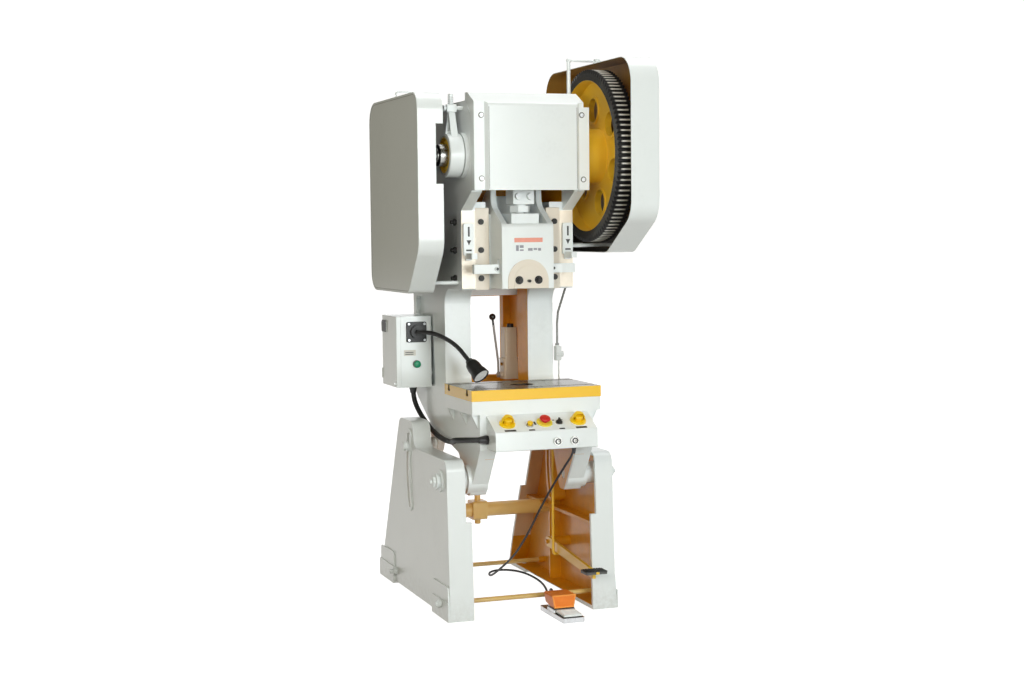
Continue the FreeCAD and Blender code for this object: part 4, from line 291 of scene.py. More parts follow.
def way_faces(look):
    """The scraped front of the ways."""
    return look.both(look.within(look.y, -0.3684, -0.3676), look.within(look.z, 1.338, 1.6650))


def way_sides(look):
    """The machined sides of the ways, beside the slide."""
    side = look.math("ABSOLUTE", look.x)
    return look.both(look.within(side, 0.1395, 0.1412), look.within(look.y, -0.3690, -0.2250),
                     look.within(look.z, 1.338, 1.7700))


PIVOT_BOSS = 0.0468  # just outside the boss round each pivot pin


def leg_inside(look):
    """What lies behind the flange that runs round each leg."""
    side = look.math("ABSOLUTE", look.x)
    front = look.math("MULTIPLY_ADD", look.z, 0.0504, -0.5145)
    rear = look.math("MULTIPLY_ADD", look.z, -0.4555, 0.5245)
    behind = look.spread(look.math("SUBTRACT", look.y, front), 0, 0.0006)
    ahead = look.spread(look.math("SUBTRACT", rear, look.y), 0, 0.0006)
    low = look.both(look.within(look.z, 0.0155, 0.6395), behind, ahead)
    high = look.both(look.within(look.z, 0.3, 0.7495), look.within(look.y, 0.0030, 0.2000), ahead)
    beyond_boss = look.within(look.radius(PIVOT_Y, PIVOT_Z), PIVOT_BOSS, 9)
    return look.both(look.either(low, high), look.within(side, -1, 0.3475), beyond_boss)


def gear_rim(look):
    """The teeth and the rim that carries them."""
    return look.within(look.radius(SHAFT_Y, SHAFT_Z), 0.3128, 1)


def gear_tip_glints(look):
    """Painted glints: the middle of each tooth's land, near white on the dark rim, for the highlights on the
    teeth.
    """
    lands = look.within(look.radius(SHAFT_Y, SHAFT_Z), 0.3545, 1, 0.001)
    return look.both(lands, look.within(look.x, 0.306, 0.352, 0.004))


def hub_face(look):
    """The end of the gear's hub."""
    return look.within(look.x, 0.2, 0.2634)


def bolster_top(look):
    """The bolster's top face and the insides of its two slots."""
    slots = look.either(look.within(look.y, -0.5362, -0.5058), look.within(look.y, -0.2942, -0.2638))
    sides = look.within(look.math("ABSOLUTE", look.x), -1, 0.2796)
    inside = look.both(slots, sides, look.within(look.z, 0.9185, 1))
    return look.either(look.within(look.z, 0.9446, 1), inside)


def drum_face(look):
    """The drum's hollow face, inside its rim."""
    ring = look.within(look.radius(SHAFT_Y, SHAFT_Z), 0.0, 0.0725)
    return look.both(look.within(look.x, -0.3264, -0.2970), ring)


# A cover's hollow: a place in its middle, and the level of its top.
GEAR_HOLLOW = ((0.391, -0.315, 1.880), 2.2740)
BELT_HOLLOW = ((-0.412, -0.128, 1.735), 2.1385)


def faces_in(middle, top):
    """The faces of a hollow that look towards its middle."""
    def mask(look):
        return look.both(towards(look, *middle), look.within(look.z, 1, top))
    return mask


def guard_foot(look):
    """The gear cover's inside gets darker towards its foot."""
    inside = faces_in(*GEAR_HOLLOW)(look)
    return look.both(inside, look.spread(look.z, 1.58, 1.86, 1, 0))


def above_desk(look):
    """Height above the panel's sloping desk."""
    rise = look.math("MULTIPLY_ADD", look.y, -DESK_SLOPE, (DESK_SLOPE * DESK_Y - DESK_Z) * MM)
    return look.math("ADD", look.z, rise)


def on_desk_near(x, half):
    """The collar at a place across the desk, or both of the pair far out."""
    def mask(look):
        side = look.math("ABSOLUTE", look.x) if x > 0.1 else look.x
        return look.both(look.spread(above_desk(look), 0.0010, 0.0016), look.within(side, x - half, x + half))
    return mask


def panel_sockets(look):
    """The two round collars on the panel's front."""
    return look.spread(look.y, -0.6988, -0.6983, 1, 0)


def pedal_plate(look):
    """The pedal's plate, without the lever's bar, which runs into it."""
    bar = look.within(look.x, 0.2428, 0.2572)
    plate = look.both(look.within(look.y, -0.612, -0.5425), look.within(look.z, 0.1645, 0.1756))
    return look.both(plate, look.math("SUBTRACT", 1.0, bar))


def bolster_bore(look):
    """The wall of the round hole through the bolster, below the crankshaft."""
    across = look.math("SUBTRACT", look.y, SHAFT_Y * MM)
    squares = look.math("ADD", look.math("MULTIPLY", across, across),
                        look.math("MULTIPLY", look.x, look.x))
    near = look.spread(squares, 0.0506 ** 2, 0.0510 ** 2, 1, 0)
    return look.both(near, look.within(look.z, 0.8, 0.9444))


def outside_legs(look):
    """The ends of the tie rods, outside the legs."""
    return look.spread(look.math("ABSOLUTE", look.x), 0.3622, 0.3630)


def below_hose(look):
    """The oil line's distributor and the feed pipe under it."""
    return look.spread(look.z, 1.0840, 1.0852, 1, 0)


def lever_knob(look):
    """The top of the pump's lever."""
    return look.spread(look.z, 1.1600, 1.1640)


def glass(name, colour, glow):
    """Rippled glass with a faint glow: painted light that stands in for the glass's highlight, also on the
    pump's window, which is no lamp.
    """
    look = Look(name, roughness=0.12, Transmission_Weight=0.5, IOR=1.46, Emission_Strength=glow)
    look.shader.inputs["Emission Color"].default_value = (1.0, 0.98, 0.94, 1.0)
    ripple = look.noise(320, 2)
    look.bump(ripple, 0.0002)
    return look.finish(look.mix(look.spread(ripple, 0.3, 0.7), colour, tint(255, 255, 252)),
                       look.spread(ripple, 0.3, 0.7, 0.08, 0.22))


LOOKS = {
    "frame": paint("frame_paint", WHITE, 0.3, 1.0, [
        (frame_inside, AMBER, 0.42, 0), (way_faces, CREAM, 0.4, 0.35), (way_sides, STEEL, 0.35, 0.9)]),
    "legs": paint("leg_paint", WHITE, 0.32, 1.0, [(leg_inside, AMBER, 0.42, 0)]),
    "sheet": paint("sheet_paint", WHITE, 0.24, 0.0),
    "gear_guard": paint("gear_guard_paint", WHITE, 0.24, 0.0, [
        # Inside the gear cover: its yellow paint, darkened to brown as painted shade.
        (faces_in(*GEAR_HOLLOW), SHADED_YELLOW, 0.45, 0),
        (guard_foot, tint(34, 25, 10), 0.5, 0)]),
    # The belt cover's inside is near black: painted shade, so its notch shows dark.
    "belt_guard": paint("belt_guard_paint", WHITE, 0.24, 0.0, [
        (faces_in(*BELT_HOLLOW), tint(44, 42, 38), 0.5, 0)]),
    "panel": paint("panel_paint", WHITE, 0.24, 0.0, [
        (on_desk_near(0.152, 0.036), tint(253, 212, 18), 0.3, 0),
        (on_desk_near(0.007, 0.036), tint(244, 226, 70), 0.3, 0),
        (on_desk_near(-0.061, 0.018), SOCKET_STEEL, 0.3, 1.0),
        (on_desk_near(0.068, 0.018), SOCKET_STEEL, 0.3, 1.0),
        (panel_sockets, tint(206, 206, 202), 0.25, 1.0)]),
    "lever": paint("lever_paint", YELLOW, 0.36, 0.5, [(pedal_plate, tint(72, 72, 70), 0.5, 0)]),
    "white": paint("white_enamel", WHITE, 0.3, 0.3),
    # The gear: the near-white lands on its teeth are painted glints.
    "gear": paint("gear_paint", YELLOW, 0.36, 0.8, [
        (gear_rim, tint(14, 13, 12), 0.62, 0), (gear_tip_glints, tint(226, 223, 214), 0.34, 0.15),
        (hub_face, CREAM, 0.36, 0.5)]),
    "bolster": paint("bolster_paint", tint(247, 196, 0), 0.34, 0.3, [
        (bolster_top, tint(112, 108, 98), 0.28, 0.95), (bolster_bore, tint(62, 52, 46), 0.4, 0.6)]),
    "gold": paint("gold_paint", GOLD, 0.34, 0.4),
    "tie": paint("tie_rod_paint", tint(226, 190, 112), 0.32, 0.0, [(outside_legs, WHITE, 0.34, 0)]),
    "oil": paint("oil_line_paint", tint(140, 142, 140), 0.45, 0.0, [
        (below_hose, tint(222, 226, 226), 0.35, 0)]),
    "pump": paint("pump_enamel", tint(214, 204, 184), 0.36, 0.4),
    "pump_lever": paint("pump_lever_plate", tint(150, 150, 148), 0.3, 0.0, [(lever_knob, BLACK, 0.3, 0)]),
    "drum": paint("drum_paint", tint(186, 186, 180), 0.4, 0.3, [(drum_face, YELLOW, 0.4, 0)]),
    "yellow": paint("yellow_enamel", YELLOW, 0.34, 0.5),
    "steel": metal("machined_steel", STEEL, 0.28, (1, 0.1, 1)),
    "cream": paint("scraped_iron", CREAM, 0.38, 0.0),
    "iron": metal("dark_iron", IRON, 0.42, (1, 1, 1), 0.5, 1.0),
    "black_steel": metal("black_steel", tint(54, 53, 52), 0.4, (1, 1, 1), 0.4, 1.0),
    "zinc": metal("zinc_plate", tint(196, 198, 200), 0.3, (1, 1, 0.2), 0.2),
    "bronze": metal("bronze", tint(176, 128, 64), 0.32, (1, 0.1, 1), 0.3),
    "rubber": moulded("black_rubber", tint(15, 15, 15), 0.55, 1.0),
    "black": moulded("black_plastic", tint(24, 24, 25), 0.38, 0.6),
    "grey": moulded("grey_plastic", tint(120, 122, 122), 0.42, 0.6),
    "orange": moulded("orange_plastic", tint(240, 128, 24), 0.42, 0.6),
    "yellow_plastic": moulded("yellow_plastic", tint(250, 204, 20), 0.32, 0.2),
    "red": moulded("red_plastic", tint(204, 26, 22), 0.3, 0.2),
    "green": moulded("green_plastic", tint(22, 140, 100), 0.28, 0.2),
    "hose": moulded("hose_rubber", tint(34, 34, 34), 0.5, 0.8),
    "orange_rim": moulded("orange_rim", tint(250, 158, 60), 0.4, 0.4),
    "salmon": moulded("salmon_print", tint(236, 150, 128), 0.35, 0.1),
    "print": moulded("dark_print", tint(44, 44, 46), 0.4, 0.1),
    "faint_print": moulded("faint_print", tint(140, 140, 150), 0.4, 0.1),
    "pale_print": moulded("pale_print", tint(206, 204, 196), 0.4, 0.1),
    "lens": glass("lamp_glass", tint(214, 218, 220), 0.12),
}

DRESS = {
    # node: (look, edge radius in millimetres)
    "press_frame": ("frame", 2.5), "left_leg": ("legs", 2.5), "right_leg": ("legs", 2.5),
    "crank_cover": ("sheet", 0.8), "gear_cover": ("gear_guard", 0.8), "belt_cover": ("belt_guard", 0.8),
    "cover_stays": ("white", 0.5), "crank_gear": ("gear", 0.8), "pinion_shaft": ("steel", 0.6),
    "flywheel": ("black_steel", 1.0), "motor_pulley": ("iron", 0.6), "drive_belts": ("rubber", 0.5),
    "motor": ("grey", 1.2), "motor_bracket": ("white", 0.8), "brake_drum": ("drum", 0.8),
    "brake_band": ("white", 0.8), "brake_adjuster": ("white", 0.5), "crankshaft": ("steel", 1.0),
    "crank_bushes": ("bronze", 0.5), "connecting_rod": ("white", 2.0), "rod_cap": ("white", 1.5),
    "ball_screw": ("white", 1.0), "ball_cap": ("white", 1.2), "slide": ("white", 2.0),
    "guide_gibs": ("cream", 0.8), "guide_bolts": ("black_steel", 0.5), "die_clamp": ("cream", 0.8),
    "clamp_bolts": ("black_steel", 0.6), "knockout_bar": ("white", 1.5), "knockout_stops": ("white", 1.2),
    "bolster_plate": ("bolster", 1.2), "lock_bolts": ("white", 0.8), "pivot_pins": ("white", 1.0),
    "tie_rods": ("tie", 0.6), "cross_shaft": ("gold", 0.8), "tilt_rest_block": ("gold", 2.0),
    "tilt_rest_screw": ("gold", 0.8), "control_panel": ("panel", 0.8), "electric_box": ("sheet", 0.6),
    "box_door": ("sheet", 0.6), "lamp_flange": ("black", 0.6), "gooseneck": ("rubber", 0),
    "lamp_head": ("black", 0.8), "lamp_lens": ("lens", 0), "power_button": ("green", 0.6),
    "left_palm_button": ("yellow_plastic", 0.8), "right_palm_button": ("yellow_plastic", 0.8),
    "stop_button": ("red", 0.8), "start_button": ("yellow_plastic", 0.5), "mode_selector": ("black", 0.5),
    "conduit": ("rubber", 0), "oil_pump": ("pump", 1.0), "pump_lever": ("pump_lever", 0.3),
    "oil_pipe": ("oil", 0.4), "foot_lever": ("lever", 1.0), "pull_rod": ("yellow", 0),
    "foot_switch_base": ("zinc", 0.8), "foot_switch_treadle": ("white", 0.6),
    "foot_switch_hood": ("orange", 1.2), "foot_switch_cable": ("rubber", 0),
}


def soften(piece, radius):
    """Rounds a piece's edges by a radius in millimetres, and shades its flats flat."""
    weld = piece.modifiers.new("weld", "WELD")
    weld.merge_threshold = 0.00001
    plain = piece.modifiers.new("plain", "DECIMATE")
    plain.decimate_type = "DISSOLVE"
    plain.angle_limit = math.radians(0.6)
    edges = piece.modifiers.new("edges", "BEVEL")
    edges.width = radius * MM
    edges.segments = 2
    edges.limit_method = "ANGLE"
    edges.angle_limit = math.radians(32)
    edges.use_clamp_overlap = True
    normals = piece.modifiers.new("normals", "WEIGHTED_NORMAL")
    normals.keep_sharp = True
    normals.weight = 80


for name, (finish, radius) in DRESS.items():
    node = nodes[name]
    node.data.materials.clear()
    node.data.materials.append(LOOKS[finish])
    if radius:
        soften(node, radius)


# ----------------------------------------------------------
# Pieces in mesh code: sizes in millimetres, in the row frame
# ----------------------------------------------------------

AXES = {"X": (1, 2, 0), "Y": (0, 2, 1), "Z": (0, 1, 2)}


def rounded(corners, steps=5):
    """An outline's points, where a corner (a, b, radius) is rounded."""
    points = []
    for i, corner in enumerate(corners):
        here = Vector(corner[:2])
        if len(corner) == 2:
            points.append(here)
            continue
        before = (Vector(corners[i - 1][:2]) - here).normalized()
        after = (Vector(corners[(i + 1) % len(corners)][:2]) - here).normalized()
        half = before.angle(after) / 2
        reach = corner[2] / math.tan(half)
        centre = here + (before + after).normalized() * (corner[2] / math.sin(half))
        first, last = here + before * reach - centre, here + after * reach - centre
        sweep = first.angle_signed(last)
        for step in range(steps + 1):
            turn = -sweep * step / steps
            points.append(centre + Matrix.Rotation(turn, 2) @ first)
    return [(p[0], p[1]) for p in points]


def inset(corners, by):
    """The corners of an outline moved inwards from each side, with their roundings."""
    moved = []
    for i, corner in enumerate(corners):
        here = Vector(corner[:2])
        before = (here - Vector(corners[i - 1][:2])).normalized()
        after = (Vector(corners[(i + 1) % len(corners)][:2]) - here).normalized()
        bisector = (after - before).normalized()
        half = (-before).angle(after) / 2
        spot = here + bisector * (by / math.sin(half))
        moved.append((spot.x, spot.y, max(corner[2] - by, 1)))
    return moved


def oblong(low_a, high_a, low_b, high_b, radius=0):
    """A rectangle's outline, with its corners rounded where a radius is given."""
    corners = [(low_a, low_b), (high_a, low_b), (high_a, high_b), (low_a, high_b)]
    return rounded([(*corner, radius) for corner in corners]) if radius else corners


def circle(radius, count, a=0, b=0):
    """Even points on a circle about a place."""
    turns = [2 * math.pi * i / count for i in range(count)]
    return [(a + radius * math.cos(turn), b + radius * math.sin(turn)) for turn in turns]


class Shape:
    """Gathers solids in one mesh. A turn places what is added afterwards."""

    def __init__(self, turn=Matrix()):
        self.mesh = bmesh.new()
        self.turn = turn

    def vert(self, x, y, z):
        return self.mesh.verts.new(self.turn @ (Vector((x, y, z)) * MM))

    def ring(self, outline, level, axis):
        """Vertices at an outline's (a, b) points, at a level of an axis."""
        order = AXES[axis]
        ring = []
        for a, b in outline:
            spot = [0, 0, 0]
            spot[order[0]], spot[order[1]], spot[order[2]] = a, b, level
            ring.append(self.vert(*spot))
        return ring

    def prism(self, outline, low, high, axis="Z"):
        """An outline of (a, b) points between two levels of an axis."""
        rings = [self.ring(outline, level, axis) for level in (low, high)]
        self.mesh.faces.new(rings[0])
        self.mesh.faces.new(rings[1])
        for i in range(len(outline)):
            self.mesh.faces.new((rings[0][i - 1], rings[0][i], rings[1][i], rings[1][i - 1]))
        return self

    def block(self, x, y, z):
        """A box between two levels along each axis."""
        return self.prism(oblong(*x, *y), *z)

    def border(self, outer, inner, low, high, axis="Z"):
        """A flat border between two outlines of as many points."""
        loops = [self.ring(line, level, axis) for level in (low, high) for line in (outer, inner)]
        for one, two in ((0, 1), (2, 3), (0, 2), (1, 3)):
            for i in range(len(outer)):
                self.mesh.faces.new((loops[one][i - 1], loops[one][i], loops[two][i], loops[two][i - 1]))
        return self

    def lathe(self, profile, axis="Z", at=(0, 0, 0), sides=40):
        """A profile of (radius, along) turned about an axis through a place."""
        order = AXES[axis]
        rings = []
        for radius, along in profile:
            ring = []
            for i in range(1 if radius == 0 else sides):
                angle = math.radians(360 * i / sides)
                spot = [0, 0, 0]
                spot[order[0]] = at[order[0]] + radius * math.cos(angle)
                spot[order[1]] = at[order[1]] + radius * math.sin(angle)
                spot[order[2]] = at[order[2]] + along
                ring.append(self.vert(*spot))
            rings.append(ring)
        for one, two in zip(rings, rings[1:]):
            for i in range(sides):
                j = (i + 1) % sides
                corners = [one[i % len(one)], one[j % len(one)], two[j % len(two)], two[i % len(two)]]
                unique = list(dict.fromkeys(corners))
                if len(unique) > 2:
                    self.mesh.faces.new(unique)
        return self

    def collar(self, inner, outer, deep, axis, at, sides=28):
        """A flat ring that stands on a face."""
        profile = [(inner, 0), (outer, 0), (outer, deep), (inner, deep), (inner, 0)]
        return self.lathe(profile, axis, at, sides)

    def bolt(self, x, y, z, axis, way, radius, height, stud=0.0):
        """A chamfered hexagon that stands on a face, with the end of its stud."""
        profile = [(0, 0), (radius, 0), (radius, height * 0.82), (radius * 0.88, height)]
        profile += [(stud, height), (stud, height + stud * 0.9), (stud * 0.8, height + stud)] if stud else []
        profile += [(0, profile[-1][1])]
        return self.lathe([(r, a * way) for r, a in profile], axis, (x, y, z), 6)

    def screw(self, x, y, z, axis, way, radius, height):
        """A round head with a hexagon socket."""
        socket = radius * 0.52
        profile = [(0, 0), (radius, 0), (radius, height * 0.8), (radius * 0.9, height), (socket, height),
                   (socket, height * 0.35), (0, height * 0.35)]
        return self.lathe([(r, a * way) for r, a in profile], axis, (x, y, z), 18)

    def tube(self, points, widths, sides):
        """A round bar along points, each with its own radius, its sections square to its run."""
        spots = [Vector(p) for p in points]
        ahead = [(b - a).normalized() for a, b in zip(spots, spots[1:])]
        normal = ahead[0].orthogonal().normalized()
        rings = []
        for i, spot in enumerate(spots):
            way = (ahead[max(i - 1, 0)] + ahead[min(i, len(ahead) - 1)]).normalized()
            normal = (normal - way * normal.dot(way)).normalized()
            side = way.cross(normal)
            ring = []
            for k in range(sides):
                angle = 2 * math.pi * k / sides
                p = spot + (normal * math.cos(angle) + side * math.sin(angle)) * widths[i]
                ring.append(self.vert(*p))
            rings.append(ring)
        for one, two in zip(rings, rings[1:]):
            for k in range(sides):
                self.mesh.faces.new((one[k - 1], one[k], two[k], two[k - 1]))
        self.mesh.faces.new(rings[0])
        self.mesh.faces.new(rings[-1])
        return self

    def done(self, name, finish, body, edge=0.4, slot=None):
        """Makes the piece, which rides on a body, and softens its edges."""
        bmesh.ops.recalc_face_normals(self.mesh, faces=self.mesh.faces)
        mesh = bpy.data.meshes.new(name)
        self.mesh.to_mesh(mesh)
        self.mesh.free()
        for face in mesh.polygons:
            face.use_smooth = True
        piece = bpy.data.objects.new(name, mesh)
        bpy.context.scene.collection.objects.link(piece)
        mesh.materials.append(LOOKS[finish])
        soften(piece, edge)
        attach(piece, body)
        return piece


# ----------------------------------------------------------
# Cords
# ----------------------------------------------------------

def cord(name, points, radius, finish):
    """A round cord along a smooth spline through the route's control points."""
    curve = bpy.data.curves.new(name, "CURVE")
    curve.dimensions = "3D"
    line = curve.splines.new("NURBS")
    line.points.add(len(points) - 1)
    for spot, point in zip(line.points, points):
        spot.co = (*point, 1.0)
    line.order_u = 3
    line.use_endpoint_u = True
    line.resolution_u = 8
    curve.bevel_depth = radius
    curve.bevel_resolution = 5
    curve.use_fill_caps = True
    piece = bpy.data.objects.new(name, curve)
    bpy.context.scene.collection.objects.link(piece)
    curve.materials.append(LOOKS[finish])
    return piece


CABLE_ROUTE = [
    (0.102, -0.507, 0.070), (0.104, -0.472, 0.076), (0.112, -0.432, 0.080), (0.124, -0.388, 0.070),
    (0.140, -0.340, 0.046), (0.158, -0.288, 0.022), (0.176, -0.228, 0.009), (0.194, -0.166, 0.0055),
    (0.212, -0.104, 0.0055), (0.228, -0.041, 0.0055), (0.240, 0.024, 0.0055), (0.248, 0.090, 0.0055),
    (0.250, 0.156, 0.0055), (0.248, 0.220, 0.0055), (0.239, 0.280, 0.0055), (0.218, 0.331, 0.0055),
    (0.182, 0.364, 0.0055), (0.140, 0.368, 0.0055), (0.104, 0.342, 0.0055), (0.082, 0.298, 0.0055),
    (0.072, 0.246, 0.009), (0.071, 0.194, 0.027), (0.074, 0.140, 0.054), (0.078, 0.082, 0.084),
    (0.081, 0.018, 0.118), (0.084, -0.050, 0.158), (0.087, -0.120, 0.208), (0.090, -0.190, 0.264),
    (0.094, -0.258, 0.326), (0.098, -0.324, 0.392), (0.104, -0.392, 0.458), (0.112, -0.460, 0.522),
    (0.121, -0.526, 0.584), (0.130, -0.586, 0.638), (0.136, -0.628, 0.676), (0.136, -0.6392, 0.7062)]
cable = cord("foot_switch_cord", list(reversed(CABLE_ROUTE)), 0.0048, "rubber")
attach(cable, "base")
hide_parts("foot_switch_cable")

CONDUIT_ROUTE = [
    (-0.283, 0.244, 0.9038), (-0.283, 0.244, 0.862), (-0.279, 0.230, 0.822), (-0.272, 0.200, 0.789),
    (-0.266, 0.158, 0.762), (-0.261, 0.108, 0.740), (-0.259, 0.050, 0.722), (-0.258, -0.014, 0.708),
    (-0.258, -0.082, 0.699), (-0.258, -0.152, 0.695), (-0.260, -0.222, 0.697), (-0.268, -0.288, 0.704),
    (-0.284, -0.350, 0.713), (-0.305, -0.408, 0.723), (-0.323, -0.464, 0.733), (-0.331, -0.521, 0.742),
    (-0.310, -0.569, 0.747), (-0.268, -0.596, 0.748), (-0.2187, -0.598, 0.747)]
hose = cord("panel_conduit", CONDUIT_ROUTE, 0.011, "rubber")
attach(hose, "frame")
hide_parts("conduit")


# ----------------------------------------------------------
# Small pieces on the head and its covers
# ----------------------------------------------------------

def along(points, step):
    """Even spots, in millimetres, on the smooth spline of a route."""
    guide = cord("guide", points, 0, "rubber")
    mesh = bpy.data.meshes.new_from_object(guide)
    line = [vertex.co / MM for vertex in mesh.vertices]
    bpy.data.objects.remove(guide)
    spots, left = [line[0]], step
    for one, two in zip(line, line[1:]):
        run = (two - one).length
        while left <= run:
            spots.append(one.lerp(two, left / run))
            left += step
        left -= run
    return spots


COVER_FACE, COVER_FLANGE, COVER_FOLD = -568, -553, 188.5
COVER_SCREWS = ((-217, 2044), (-217, 1792), (215, 2049), (221, 1788))
screws = Shape()
for x, z in COVER_SCREWS:
    screws.screw(x, COVER_FLANGE, z, "Y", -1, 8, 5)
screws.done("crank_cover_screws", "zinc", "frame", 0.3, "zinc")
washers = Shape()
for x, z in COVER_SCREWS:
    washers.collar(8.2, 12, -1.2, "Y", (x, COVER_FLANGE, z))
washers.done("crank_cover_washers", "iron", "frame", 0.2, "black_steel")
# Grey lines along the crank cover's two folds: painted shade where its raised panel steps down to the
# flanges.
fold_shades = Shape()
for x in (-COVER_FOLD, COVER_FOLD):
    fold_shades.block((x - 1, x + 1), (COVER_FACE - 0.5, COVER_FACE + 0.4), (1750, 2078))
fold_shades.done("crank_cover_fold_shades", "grey", "frame", 0)

GEAR_SIDE = [(-533, 1488, 80), (160, 1488, 70), (160, 2275, 110), (-790, 2275, 110), (-790, 1640, 110)]
BELT_SIDE = [(-340, 1330, 40), (245, 1330, 80), (245, 2140, 90), (-500, 2140, 70), (-500, 1515, 110)]
for name, side, face, out in (("gear_cover", GEAR_SIDE, 453, 1), ("belt_cover", BELT_SIDE, -465, -1)):
    foot = face - 0.3 * out
    outer, middle, inner = (rounded(inset(side, by), 8) for by in (1.5, 9, 11))
    lip = Shape()
    lip.border(outer, middle, foot, face + 1.2 * out, "X")
    lip.done(name + "_lip", "sheet", "frame", 0.4, "white_paint")
    # A grey line just inside each lip: a painted shadow gap.
    shade_line = Shape()
    shade_line.border(middle, inner, foot, face + 0.4 * out, "X")
    shade_line.done(name + "_seam", "grey", "frame", 0)

STOP_PRINT = (-382.6, -381.8)
marks = Shape()
for x in (-218, 218):
    marks.prism(oblong(x - 4, x + 4, 1560, 1600, 2), *STOP_PRINT, "Y")
    marks.prism([(x - 10, 1545), (x + 10, 1545), (x, 1524)], *STOP_PRINT, "Y")
    marks.prism(oblong(x - 12, x + 12, 1500, 1507, 1), *STOP_PRINT, "Y")
marks.done("stop_marks", "print", "frame", 0)

# Die clamp: its half-round face, and a smaller step on it.
ARCH_FOOT, ARCH_CENTRE = 1347, 1377
clamp = Shape()
for radius, face in ((88, -495.5), (63, -498.5)):
    arch = [(radius, ARCH_FOOT)]
    arch += [(radius * math.cos(math.radians(a)), ARCH_CENTRE + radius * math.sin(math.radians(a)))
             for a in range(0, 181, 6)]
    arch += [(-radius, ARCH_FOOT)]
    clamp.prism(arch, face, -489.5, "Y")
clamp.done("clamp_face", "cream", "slide", 1.0, "cream_steel")

# The slide's sticker, as plain fields.
SLIDE_PRINT = (-491.0, -490.4)
plate = Shape()
plate.prism(oblong(-61, 66, 1496, 1556, 3), -490.7, -489.6, "Y")
plate.done("slide_plate", "white", "slide", 0.2)
band = Shape()
band.prism(oblong(-59, 64, 1535, 1553, 1), *SLIDE_PRINT, "Y")
band.done("slide_band", "salmon", "slide", 0)
marks = Shape()
for low, high, foot, top in ((-52, -40, 1500, 1523), (-36, -19, 1500, 1506), (-36, -19, 1512, 1523),
                             (0, 20, 1500, 1511), (24, 40, 1503, 1511), (44, 57, 1500, 1511)):
    marks.prism(oblong(low, high, foot, top, 1), *SLIDE_PRINT, "Y")
marks.done("slide_marks", "faint_print", "slide", 0)

washers = Shape()
for x in (-42, 42):
    washers.collar(8, 17, -3, "Y", (x, -498.3, 1381))
washers.done("clamp_washers", "black_steel", "slide", 0.3, "black_steel")

# The brake's lug seen from the front: two legs that meet below its clamp block.
lug = Shape()
lug.border([(-322, 1968), (-268, 1968), (-281, 2066), (-309, 2066)],
           [(-308, 1984), (-282, 1984), (-292, 2046), (-298, 2046)], -408, -392, "Y")
lug.done("brake_lug", "white", "frame", 1.5, "white_paint")

# A black strip along the panel's top edge: painted shade in the gap there.
strip = Shape()
strip.block((-214, 214), (-579.5, -576), (838, 846))
strip.done("panel_edge_shade", "black", "frame", 0.2, "black_rubber")

# A black disc at each of the knockout bar's bores: painted shade for the dark inside of the hole.
ends = Shape()
for x in (-123, 123):
    ends.lathe([(0, 0), (6, 0), (6, -1.5), (0, -1.5)], "Y", (x, -463.6, 1427), 20)
ends.done("bar_bore_shades", "black", "knockout_bar", 0)

# The crankshaft's left end: a black disc and its bolt.
disc = Shape()
disc.lathe([(0, 0), (44, 0), (44, -3), (40, -5), (0, -5)], "X", (-351.8, SHAFT_Y, SHAFT_Z), 48)
disc.done("crank_end_disc", "black_steel", "crankshaft", 0.5, "black_steel")
bolt = Shape()
bolt.lathe([(0, 0), (15, 0), (15, -6), (12, -11), (6, -14), (0, -15)],
           "X", (-356.5, SHAFT_Y, SHAFT_Z), 28)
bolt.done("crank_end_bolt", "zinc", "crankshaft", 0.3, "zinc")


# ----------------------------------------------------------
# Small pieces on the panel, the electric box and the lamp
# ----------------------------------------------------------

def desk(x, y):
    """A frame that stands square on the sloping desk."""
    spot = Vector((x, y, DESK_Z + DESK_SLOPE * (y - DESK_Y))) * MM
    return Matrix.Translation(spot) @ Matrix.Rotation(math.atan(DESK_SLOPE), 4, "X")


labels = Shape()
for x, y, wide, deep in ((-152, -683, 48, 12), (152, -683, 48, 12), (-61, -685, 26, 9), (68, -685, 24, 8),
                         (-34, -643, 8, 22)):
    labels.turn = desk(x, y)
    labels.prism(oblong(-wide / 2, wide / 2, -deep / 2, deep / 2, 1.5), -0.2, 0.7)
for x in (50, 86):
    labels.turn = desk(x, -630)
    labels.prism(oblong(-4, 4, -2.5, 2.5, 1), -0.2, 0.7)
labels.done("panel_labels", "print", "frame", 0.2)
start = Shape(desk(-61, -657))
start.lathe([(0, 11.6), (9, 11.6), (11.5, 13), (11.5, 17), (10, 18.5), (0, 19)], sides=32)
start.done("start_cap", "yellow_plastic", "start_button", 0.3, "yellow_plastic")
ring = Shape(desk(68, -649))
ring.border(circle(14, 24), circle(11.6, 24), 3, 7)
ring.done("selector_ring", "black", "frame", 0.3, "black_plastic")
sockets = Shape()
for x in (41, 114):
    sockets.collar(8.2, 12, -4, "Y", (x, -709.8, 740))
sockets.done("socket_rings", "black", "frame", 0.2, "black_plastic")

# A gland at each end of the conduit: a hexagon nut and a sleeve that narrows.
GLAND_BORE = 11.2
sleeve = [(GLAND_BORE, -11), (17, -11), (17, -18), (12.4, -40), (GLAND_BORE, -40), (GLAND_BORE, -11)]
gland = Shape()
for axis, at in (("X", (-218, -598, 747)), ("Z", (-283, 244, 904))):
    gland.collar(GLAND_BORE, 20, -12, axis, at, 6)
    gland.lathe(sleeve, axis, at, 28)
gland.done("conduit_glands", "black", "frame", 0.6, "black_plastic")

